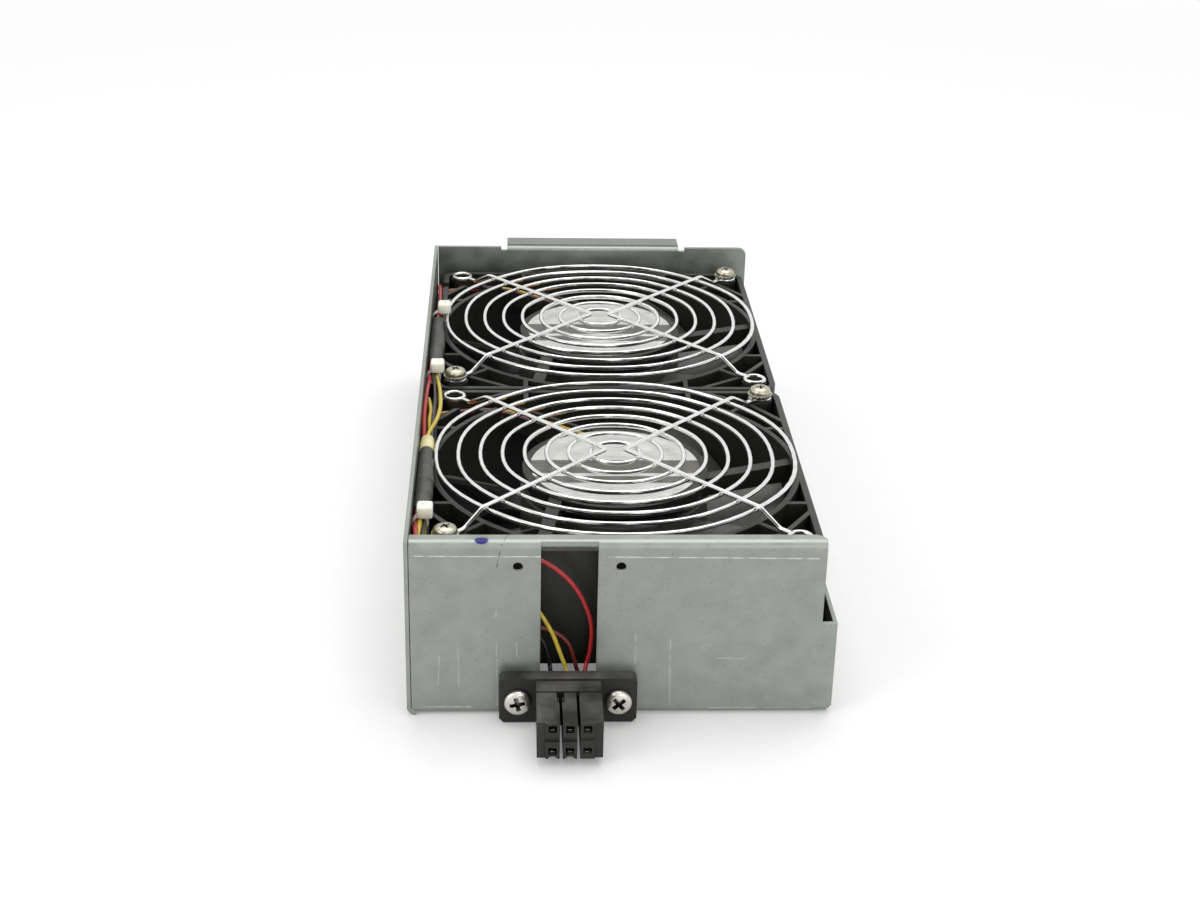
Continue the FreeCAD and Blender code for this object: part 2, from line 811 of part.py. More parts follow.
def connector_housing():
    """Blind-mate plug body: chamfered flange, slotted nose with six cavities, rear spigot."""
    nose_front = front_y - flange_thickness - nose_length
    flange_front = front_y - flange_thickness
    half = flange_width / 2
    cut = flange_chamfer
    flange = prism(
        [
            (-half + cut, flange_bottom, 0), (half - cut, flange_bottom, 0),
            (half, flange_bottom + cut, 0), (half, flange_top - cut, 0),
            (half - cut, flange_top, 0), (-half + cut, flange_top, 0),
            (-half, flange_top - cut, 0), (-half, flange_bottom + cut, 0),
        ],
        Vec(0, flange_thickness, 0),
        lambda x, z: Vec(connector_x + x, flange_front, z),
    )
    wide = nose_width / 2
    left, right = connector_x - wide, connector_x + wide
    spigot_half = spigot_width / 2
    spigot_end = front_y + sheet + spigot_reach
    body = fuse([
        flange,
        box(left, right, nose_front, flange_front, nose_bottom, nose_top),
        box(
            connector_x - spigot_half, connector_x + spigot_half,
            front_y, spigot_end, spigot_bottom, spigot_top,
        ),
    ])
    groove_y = flange_front - nose_groove_y
    columns_left = connector_x - column_pitch - column_width / 2
    columns_right = connector_x + column_pitch + column_width / 2
    step_y = nose_front + nose_step
    cutters = [
        box(left, right, groove_y - nose_groove_width, groove_y, nose_top - groove_depth, nose_top + past),
        box(columns_left, columns_right, nose_front - past, nose_front + groove_depth,
            row_groove_z - row_groove_height / 2, row_groove_z + row_groove_height / 2),
        box(left, columns_left, nose_front - past, step_y, 0, flange_top),
        box(columns_right, right, nose_front - past, step_y, 0, flange_top),
    ]
    slot_half = (column_pitch - column_width) / 2
    for k in (-0.5, 0.5):
        x = connector_x + column_pitch * k
        cutters.append(box(x - slot_half, x + slot_half, nose_front - past, groove_y, 0, flange_top))
    key_x = connector_x - column_pitch / 2
    cutters.append(box(key_x - key_width / 2, key_x + key_width / 2, groove_y - key_length, groove_y,
                       nose_top - key_depth, flange_top))
    for k in (-1, 0):
        cutters.append(rod_y(scallop_radius, nose_front - past, nose_front + scallop_depth,
                             connector_x + column_pitch * k, nose_bottom - scallop_drop))
    for x in (connector_x - connector_hole_spacing / 2, connector_x + connector_hole_spacing / 2):
        cutters.append(rod_y(flange_hole_radius, flange_front - past, front_y + past, x, connector_hole_z))
    inside = cavity_size / 2
    for x, z in cavities():
        cutters.append(box(x - inside, x + inside, nose_front - past, front_y, z - inside, z + inside))
        way = wire_radius + lay
        cutters.append(box(x - way, x + way, front_y - past, spigot_end + past, z - way, z + way))
    return body.cut(cutters)


def connector_contacts():
    """Box-shaped sockets, one in each cavity, open towards the mating half."""
    mouth = front_y - flange_thickness - nose_length + contact_inset
    half = cavity_size / 2 - slip
    sockets = []
    for x, z in cavities():
        shell = box(x - half, x + half, mouth, front_y, z - half, z + half)
        pin_way = box(x - contact_bore, x + contact_bore, mouth - past, front_y - flange_thickness,
                      z - contact_bore, z + contact_bore)
        sockets.append(shell.cut(pin_way))
    return group(sockets)


def lane_points(fan_y, lane):
    """Start of one lead: up from the board, along the strut, over the pocket, into the side gap."""
    start, bend, crossing = lead_line()
    first = (bend - start).normalize()
    second = (crossing - bend).normalize()
    first_side = Vec(-first.y, first.x, 0)
    second_side = Vec(-second.y, second.x, 0)
    mitre = (first_side + second_side) * (1 / (1 + first_side.dot(second_side)))
    shift = lead_pitch * lane
    root = start + first_side * shift
    turn = bend + mitre * shift
    exit_point = crossing + Vec(0, -shift, 0)
    flat = [root, turn - first * lead_bend, turn + second * lead_bend, exit_point]
    level = Vec(0, fan_y, wire_level)
    return [
        root + Vec(0, fan_y, base_bottom),
        *[point + level for point in flat],
        exit_point + Vec(0, fan_y, bundle_z - lane_rise * lane),
    ]


def bundle_point(degrees, y):
    turn = math.radians(degrees)
    return Vec(bundle_x + bundle_radius * math.cos(turn), y, bundle_z + bundle_radius * math.sin(turn))


def bundle_run(degrees, fan, run):
    """One lead's place in the bundle along a run from its fan's axis, held straight at both ends."""
    y0, y1 = (fan_places[fan] + y for y in run)
    return [bundle_point(degrees, y) for y in (y0, y0 - bundle_hold, y1 + bundle_hold, y1)]


def beside_bundle(x, y, z):
    return Vec(bundle_x + x, fan_places["front"] + y, bundle_z + z)


def lead(points):
    """Insulated lead along its route, each corner rounded in proportion to its shorter run."""
    radii = [0.0] * len(points)
    for i in range(1, len(points) - 1):
        back = points[i - 1] - points[i]
        ahead = points[i + 1] - points[i]
        if back.cross(ahead).Length > slip:
            half = back.getAngle(ahead) / 2
            radii[i] = lead_round_ratio * min(back.Length, ahead.Length) * math.tan(half)
    return swept(points, radii, wire_radius, wire_flat_count)


def gap_points(plane, column, row_z, high_ways, low_ways):
    """End of one lead: down its plane of the front gap and into its contact."""
    y = front_y + gap_planes[plane]
    x = connector_x + column_pitch * column
    high = [Vec(bundle_x + a, y, bundle_z + b) for a, b in high_ways]
    low = [Vec(x + a, y, row_z + b) for a, b in low_ways]
    return high + low + [Vec(x, y, row_z), Vec(x, front_y, row_z)]


def rear_leads():
    """Leads of the rear fan, laid along the left edge and over the front fan's frame."""
    places = {  # lane, turn in the bundle, plane of the front gap, column
        "red": (1, 150, "second", 1),
        "yellow": (-1, 90, "wall", 0),
        "black": (0, 30, "second", -1),
    }
    routes = {}
    for colour, (lane, turn, plane, column) in places.items():
        bundled = bundle_run(turn, "rear", rear_run) + [beside_bundle(*rear_bows[colour])]
        bundled += bundle_run(turn, "front", front_run)
        if colour == "red":
            bundled.append(beside_bundle(*red_hump))
        gap = gap_points(plane, column, upper_row_z, rear_high_ways[colour], rear_low_ways[colour])
        routes[colour] = lane_points(fan_places["rear"], lane) + bundled + gap
    return routes


def front_leads():
    """Leads of the front fan, joining the others at the front sleeve."""
    places = {  # lane, turn in the bundle, plane of the front gap, column
        "brown": (0, 210, "third", 1),
        "yellow": (-1, 330, "fan", -1),
        "red": (1, 270, "fan", 0),
    }
    routes = {}
    for colour, (lane, turn, plane, column) in places.items():
        bundled = bundle_run(turn, "front", front_run)
        gap = gap_points(plane, column, lower_row_z, front_high_ways[colour], front_low_ways[colour])
        routes[colour] = lane_points(fan_places["front"], lane) + bundled + gap
    return routes


def heat_shrink_sleeve(y):
    half = sleeve_length / 2
    return tube_y(sleeve_outer, sleeve_inner, y - half, y + half, bundle_x, bundle_z)


def wire_collar(y):
    half = collar_length / 2
    return tube_y(collar_outer, sleeve_inner, y - half, y + half, bundle_x, bundle_z)


def cable_tie(y):
    """Strap around the bundle with its square locking head on top."""
    half = tie_width / 2
    width, length, height = tie_head
    strap = rod_y(tie_outer, y - half, y + half, bundle_x, bundle_z)
    left = bundle_x - tie_head_left
    bottom = bundle_z + tie_head_rise
    head = box(left, left + width, y - length / 2, y + length / 2, bottom, bottom + height)
    bore = rod_y(sleeve_inner, y - length, y + length, bundle_x, bundle_z)
    return fuse([strap, head]).cut(bore)


def export(name, shape):
    shape.exportStep("parts/" + name + ".step")


def export_fan(place, y):
    pieces = {
        "fan_frame": fan_frame(),
        "fan_label": fan_label(),
        "circuit_board": circuit_board(),
        "stator_core": stator_core(),
        "stator_coils": stator_coils(),
        "upper_bearing": ball_bearing(upper_bearing),
        "lower_bearing": ball_bearing(lower_bearing),
        "impeller": impeller(),
        "rotor_cup": rotor_cup(),
        "rotor_magnet": rotor_magnet(),
        "rotor_shaft": rotor_shaft(),
        "shaft_clip": shaft_clip(),
        "finger_guard": finger_guard(),
    }
    for name, shape in pieces.items():
        export(place + "_" + name, moved(shape, 0, y))


def main():
    os.makedirs("parts", exist_ok=True)
    export("tray", tray())
    export("floor_standoffs", floor_standoffs())
    for place, y in fan_places.items():
        export_fan(place, y)
    export("fan_screws", fan_screws())
    export("connector_housing", connector_housing())
    export("connector_contacts", connector_contacts())
    export("connector_screws", connector_screws())
    for colour, points in rear_leads().items():
        export("rear_fan_" + colour + "_wire", lead(points))
    for colour, points in front_leads().items():
        export("front_fan_" + colour + "_wire", lead(points))
    export("rear_wire_sleeve", heat_shrink_sleeve(fan_places["rear"] + rear_sleeve_y))
    export("front_wire_sleeve", heat_shrink_sleeve(fan_places["front"] + front_sleeve_y))
    export("wire_collar", wire_collar(fan_places["front"] + collar_y))
    for place, (fan, y) in tie_stations.items():
        export(place + "_cable_tie", cable_tie(fan_places[fan] + y))


main()
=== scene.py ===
import bpy
import bmesh
import json
import math
from mathutils import Matrix, Vector, noise


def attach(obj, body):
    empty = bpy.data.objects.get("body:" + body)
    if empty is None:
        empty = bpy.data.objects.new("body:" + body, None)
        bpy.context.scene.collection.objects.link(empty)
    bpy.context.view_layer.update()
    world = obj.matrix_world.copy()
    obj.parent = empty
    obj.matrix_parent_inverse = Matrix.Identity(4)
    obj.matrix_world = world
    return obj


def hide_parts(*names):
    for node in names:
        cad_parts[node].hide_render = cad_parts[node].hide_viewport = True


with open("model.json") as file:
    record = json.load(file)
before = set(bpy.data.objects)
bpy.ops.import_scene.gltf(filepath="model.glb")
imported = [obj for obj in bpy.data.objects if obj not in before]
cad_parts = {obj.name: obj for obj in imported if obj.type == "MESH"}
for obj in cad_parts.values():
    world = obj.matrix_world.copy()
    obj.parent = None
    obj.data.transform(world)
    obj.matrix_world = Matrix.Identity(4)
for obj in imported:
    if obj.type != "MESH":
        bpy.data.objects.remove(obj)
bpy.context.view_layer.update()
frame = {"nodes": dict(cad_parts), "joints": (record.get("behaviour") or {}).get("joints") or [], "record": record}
scene = bpy.context.scene
mm = 0.001
print("frame loaded:", len(frame["nodes"]), "nodes")

# places that several pieces share, mm of the row frame
fanAxes = {joint["child"].split("_")[0]: joint["pos_m"][1] / mm for joint in frame["joints"]}
holeOffset = 52.4  # each screw hole of a fan from its axis, across and along
plugMiddle = -16.4
bundle = {"x": -59.88, "z": 50.82}  # middle of the leads where sleeves, collar and ties hold them


# camera at the photograph's place
viewSetup = {
    "place": (-33.88, -621.9, 312.8),  # mm, row frame
    "pitch": 25.0,  # degrees below the horizon
    "yaw": 2.962,  # towards +X
    "roll": 1.349,
    "focalPixels": 1951.3,
    "pictureWidth": 1200,
    "sensorWidth": 36.0,
    "clip": (0.01, 50.0),  # m
}


def addCamera(setup):
    pitch, yaw, roll = (math.radians(setup[k]) for k in ("pitch", "yaw", "roll"))
    ahead = Vector((math.sin(yaw) * math.cos(pitch), math.cos(yaw) * math.cos(pitch), -math.sin(pitch)))
    level = Vector((math.cos(yaw), -math.sin(yaw), 0))
    upward = level.cross(ahead)
    right = level * math.cos(roll) + upward * math.sin(roll)
    top = upward * math.cos(roll) - level * math.sin(roll)
    data = bpy.data.cameras.new("photoCamera")
    data.sensor_fit = "HORIZONTAL"
    data.sensor_width = setup["sensorWidth"]
    data.lens = setup["sensorWidth"] * setup["focalPixels"] / setup["pictureWidth"]
    data.clip_start, data.clip_end = setup["clip"]
    camera = bpy.data.objects.new("photoCamera", data)
    turn = Matrix((right, top, -ahead)).transposed().to_4x4()
    camera.matrix_world = Matrix.Translation(Vector(setup["place"]) * mm) @ turn
    scene.collection.objects.link(camera)
    scene.camera = camera


lightSetup = {
    "worldStrength": 0.62,
    "shownStrength": 1.0,  # plain white where the background itself is seen
    "lamps": {  # name: (place m, aim m, size m, watts)
        "overheadSoftbox": ((0.1, 0.25, 1.25), (0, 0, 0.03), 1.1, 9.0),
        "leftSoftbox": ((-1.0, -0.7, 0.75), (0, -0.03, 0.03), 0.8, 4.5),
        "frontFill": ((0.55, -1.3, 0.6), (0, -0.1, 0.03), 0.9, 3.5),
    },
}


def seenWhite(tree):
    # 1 for rays that show the background, straight or in a mirror
    path = tree.nodes.new("ShaderNodeLightPath")
    glossy = calc(tree, "MAXIMUM", path.outputs["Is Camera Ray"], path.outputs["Is Glossy Ray"])
    return calc(tree, "MAXIMUM", glossy, path.outputs["Is Transmission Ray"])


def addLights(setup):
    for name, (place, aim, size, watts) in setup["lamps"].items():
        data = bpy.data.lights.new(name, "AREA")
        data.size = size
        data.energy = watts
        lamp = bpy.data.objects.new(name, data)
        lamp.location = place
        lamp.rotation_euler = (Vector(aim) - Vector(place)).to_track_quat("-Z", "Y").to_euler()
        scene.collection.objects.link(lamp)
    world = bpy.data.worlds.new("paleStudio")
    scene.world = world
    world.use_nodes = True
    tree = world.node_tree
    tree.nodes.clear()
    output = tree.nodes.new("ShaderNodeOutputWorld")
    mixing = tree.nodes.new("ShaderNodeMixShader")
    tree.links.new(seenWhite(tree), mixing.inputs[0])
    for socket, strength in zip(mixing.inputs[1:3], (setup["worldStrength"], setup["shownStrength"])):
        light = tree.nodes.new("ShaderNodeBackground")
        light.inputs["Color"].default_value = (1, 1, 1, 1)
        light.inputs["Strength"].default_value = strength
        tree.links.new(light.outputs[0], socket)
    tree.links.new(mixing.outputs[0], output.inputs["Surface"])


# small helpers for node trees
noiseRoughness = 0.55
bevelSamples = 4


def calc(tree, operation, first, second, clamp=False):
    node = tree.nodes.new("ShaderNodeMath")
    node.operation = operation
    node.use_clamp = clamp
    for socket, value in zip(node.inputs, (first, second)):
        if isinstance(value, (int, float)):
            socket.default_value = value
        else:
            tree.links.new(value, socket)
    return node.outputs[0]


def product(tree, first, *others):
    for other in others:
        first = calc(tree, "MULTIPLY", first, other)
    return first


def ranged(tree, value, low, high, toLow=0.0, toHigh=1.0):
    node = tree.nodes.new("ShaderNodeMapRange")
    node.clamp = True
    tree.links.new(value, node.inputs[0])
    for socket, number in zip(node.inputs[1:5], (low, high, toLow, toHigh)):
        socket.default_value = number
    return node.outputs[0]


def blendColour(tree, mask, first, second):
    node = tree.nodes.new("ShaderNodeMix")
    node.data_type = "RGBA"
    tree.links.new(mask, node.inputs[0])
    for socket, value in ((node.inputs[6], first), (node.inputs[7], second)):
        if isinstance(value, tuple):
            socket.default_value = (*value, 1)
        else:
            tree.links.new(value, socket)
    return node.outputs[2]


def noiseField(tree, vector, scale, detail=4.0):
    node = tree.nodes.new("ShaderNodeTexNoise")
    node.inputs["Detail"].default_value = detail
    node.inputs["Roughness"].default_value = noiseRoughness
    if isinstance(scale, (int, float)):
        node.inputs["Scale"].default_value = scale
    else:
        tree.links.new(scale, node.inputs["Scale"])
    tree.links.new(vector, node.inputs["Vector"])
    return node.outputs[0]


def objectPoint(tree):
    return tree.nodes.new("ShaderNodeTexCoord").outputs["Object"]


def surfaceNormal(tree):
    return tree.nodes.new("ShaderNodeNewGeometry").outputs["Normal"]


def roundedNormal(tree):
    # the bevel node, for its radius and its normal
    node = tree.nodes.new("ShaderNodeBevel")
    node.samples = bevelSamples
    return node.inputs["Radius"], node.outputs[0]


def axes(tree, vector):
    node = tree.nodes.new("ShaderNodeSeparateXYZ")
    tree.links.new(vector, node.inputs[0])
    return node.outputs


def vectorCalc(tree, operation, first, second=None):
    node = tree.nodes.new("ShaderNodeVectorMath")
    node.operation = operation
    tree.links.new(first, node.inputs[0])
    if isinstance(second, tuple):
        node.inputs[1].default_value = second
    elif second is not None:
        tree.links.new(second, node.inputs[1])
    return node.outputs["Value" if operation in ("DOT_PRODUCT", "LENGTH") else "Vector"]


def newGroup(name, inputs, outputs):
    tree = bpy.data.node_groups.new(name, "ShaderNodeTree")
    for label, value in inputs.items():
        kind = "NodeSocketVector" if isinstance(value, tuple) else "NodeSocketFloat"
        tree.interface.new_socket(label, in_out="INPUT", socket_type=kind).default_value = value
    for label in outputs:
        tree.interface.new_socket(label, in_out="OUTPUT", socket_type="NodeSocketFloat")
    return tree, tree.nodes.new("NodeGroupInput").outputs, tree.nodes.new("NodeGroupOutput").inputs


def placeGroup(tree, name, **values):
    node = tree.nodes.new("ShaderNodeGroup")
    node.node_tree = bpy.data.node_groups[name]
    for label, value in values.items():
        node.inputs[label].default_value = value
    return node.outputs


# effects shared by the finishes; pairs are the range of noise or distance over which each one fades
grainEffect = {"detail": 5.0, "finer": 4.0, "finerDetail": 2.0}


def buildFineGrain(look):
    tree, given, out = newGroup("fineGrain", {"Scale": 400.0, "Spread": (1, 1, 1)}, ["Tone", "Height"])
    place = vectorCalc(tree, "MULTIPLY", objectPoint(tree), given["Spread"])
    tree.links.new(noiseField(tree, place, given["Scale"], look["detail"]), out["Tone"])
    finer = product(tree, given["Scale"], look["finer"])
    tree.links.new(noiseField(tree, place, finer, look["finerDetail"]), out["Height"])


wearEffect = {"edge": (0.72, 0.985), "patches": (0.42, 0.62)}


def buildEdgeWear(look):
    inputs = {"Radius": 0.0005, "Breakup": 700.0, "Amount": 1.0}
    tree, given, out = newGroup("edgeWear", inputs, ["Mask"])
    radius, rounded = roundedNormal(tree)
    tree.links.new(given["Radius"], radius)
    likeness = vectorCalc(tree, "DOT_PRODUCT", rounded, surfaceNormal(tree))
    edge = ranged(tree, likeness, *look["edge"], 1.0, 0.0)
    broken = ranged(tree, noiseField(tree, objectPoint(tree), given["Breakup"]), *look["patches"])
    tree.links.new(product(tree, edge, broken, given["Amount"]), out["Mask"])


dustEffect = {"level": 2.0, "detail": 6.0, "clouds": (0.38, 0.7)}  # more on level places


def buildSoftDust(look):
    tree, given, out = newGroup("softDust", {"Scale": 90.0, "Amount": 0.3}, ["Mask"])
    upward = calc(tree, "MAXIMUM", axes(tree, surfaceNormal(tree))[2], 0.0)
    lying = calc(tree, "POWER", upward, look["level"])
    cloud = ranged(tree, noiseField(tree, objectPoint(tree), given["Scale"], look["detail"]), *look["clouds"])
    tree.links.new(product(tree, lying, cloud, given["Amount"]), out["Mask"])


scratchEffect = {
    "stretch": (0.4, 16.0, 16.0), "lines": (0.66, 0.71), "detail": 2.0,
    "patchScale": 40.0, "patches": (0.45, 0.6),
}


def buildScratchMarks(look):
    inputs = {"Scale": 60.0, "Turn": 0.3, "Amount": 0.5}  # turned as far about each axis
    tree, given, out = newGroup("scratchMarks", inputs, ["Mask"])
    turned = tree.nodes.new("ShaderNodeVectorRotate")
    turned.rotation_type = "EULER_XYZ"
    tree.links.new(objectPoint(tree), turned.inputs["Vector"])
    tree.links.new(given["Turn"], turned.inputs["Rotation"])
    place = vectorCalc(tree, "MULTIPLY", turned.outputs[0], look["stretch"])
    lines = ranged(tree, noiseField(tree, place, given["Scale"], look["detail"]), *look["lines"])
    cloud = noiseField(tree, objectPoint(tree), look["patchScale"], look["detail"])
    tree.links.new(product(tree, lines, ranged(tree, cloud, *look["patches"]), given["Amount"]), out["Mask"])


spotEffect = {"rag": 900.0, "edge": (0.95, 1.2)}


def buildSpotMask(look):
    # soft-edged blot around a centre, with its half sizes
    inputs = {"Centre": (0, 0, 0), "Size": (0.002, 0.002, 0.002), "Ragged": 0.3}
    tree, given, out = newGroup("spotMask", inputs, ["Mask"])
    away = vectorCalc(tree, "SUBTRACT", objectPoint(tree), given["Centre"])
    far = vectorCalc(tree, "LENGTH", vectorCalc(tree, "DIVIDE", away, given["Size"]))
    ragged = product(tree, noiseField(tree, objectPoint(tree), look["rag"]), given["Ragged"])
    tree.links.new(ranged(tree, calc(tree, "ADD", far, ragged), *look["edge"], 1.0, 0.0), out["Mask"])


lineEffect = {"edge": (0.4, 1.0), "scale": 320.0, "detail": 3.0, "gaps": (0.36, 0.54), "faintest": 0.15}


def buildLineMask(look):
    # fine line between two points, broken up along its way
    inputs = {"From": (0, 0, 0), "To": (0.01, 0, 0), "Half": 0.0002, "Amount": 0.6}
    tree, given, out = newGroup("lineMask", inputs, ["Mask"])
    reach = vectorCalc(tree, "SUBTRACT", objectPoint(tree), given["From"])
    run = vectorCalc(tree, "SUBTRACT", given["To"], given["From"])
    length = vectorCalc(tree, "DOT_PRODUCT", run, run)
    along = calc(tree, "DIVIDE", vectorCalc(tree, "DOT_PRODUCT", reach, run), length, True)
    aside = vectorCalc(tree, "SUBTRACT", reach, vectorCalc(tree, "MULTIPLY", run, along))
    far = calc(tree, "DIVIDE", vectorCalc(tree, "LENGTH", aside), given["Half"])
    line = ranged(tree, far, *look["edge"], 1.0, 0.0)
    cloud = noiseField(tree, objectPoint(tree), look["scale"], look["detail"])
    broken = ranged(tree, cloud, *look["gaps"], look["faintest"], 1.0)
    tree.links.new(product(tree, line, broken, given["Amount"]), out["Mask"])


speckEffect = {"reach": (0.07, 0.19), "edge": (0.5, 1.0)}  # smallest and largest pit, of a cell


def buildDarkSpecks(look):
    # small pits, one here and there in a field of cells
    tree, given, out = newGroup("darkSpecks", {"Scale": 620.0, "Share": 0.45, "Amount": 0.72}, ["Mask"])
    cells = tree.nodes.new("ShaderNodeTexVoronoi")
    tree.links.new(objectPoint(tree), cells.inputs["Vector"])
    tree.links.new(given["Scale"], cells.inputs["Scale"])
    chosen, size = axes(tree, cells.outputs["Color"])[:2]
    far = calc(tree, "DIVIDE", cells.outputs["Distance"], ranged(tree, size, 0.0, 1.0, *look["reach"]))
    pit = ranged(tree, far, *look["edge"], 1.0, 0.0)
    picked = calc(tree, "LESS_THAN", chosen, given["Share"])
    tree.links.new(product(tree, pit, picked, given["Amount"]), out["Mask"])


buildFineGrain(grainEffect)
buildEdgeWear(wearEffect)
buildSoftDust(dustEffect)
buildScratchMarks(scratchEffect)
buildSpotMask(spotEffect)
buildLineMask(lineEffect)
buildDarkSpecks(speckEffect)
print("shared effects built:", len(bpy.data.node_groups))


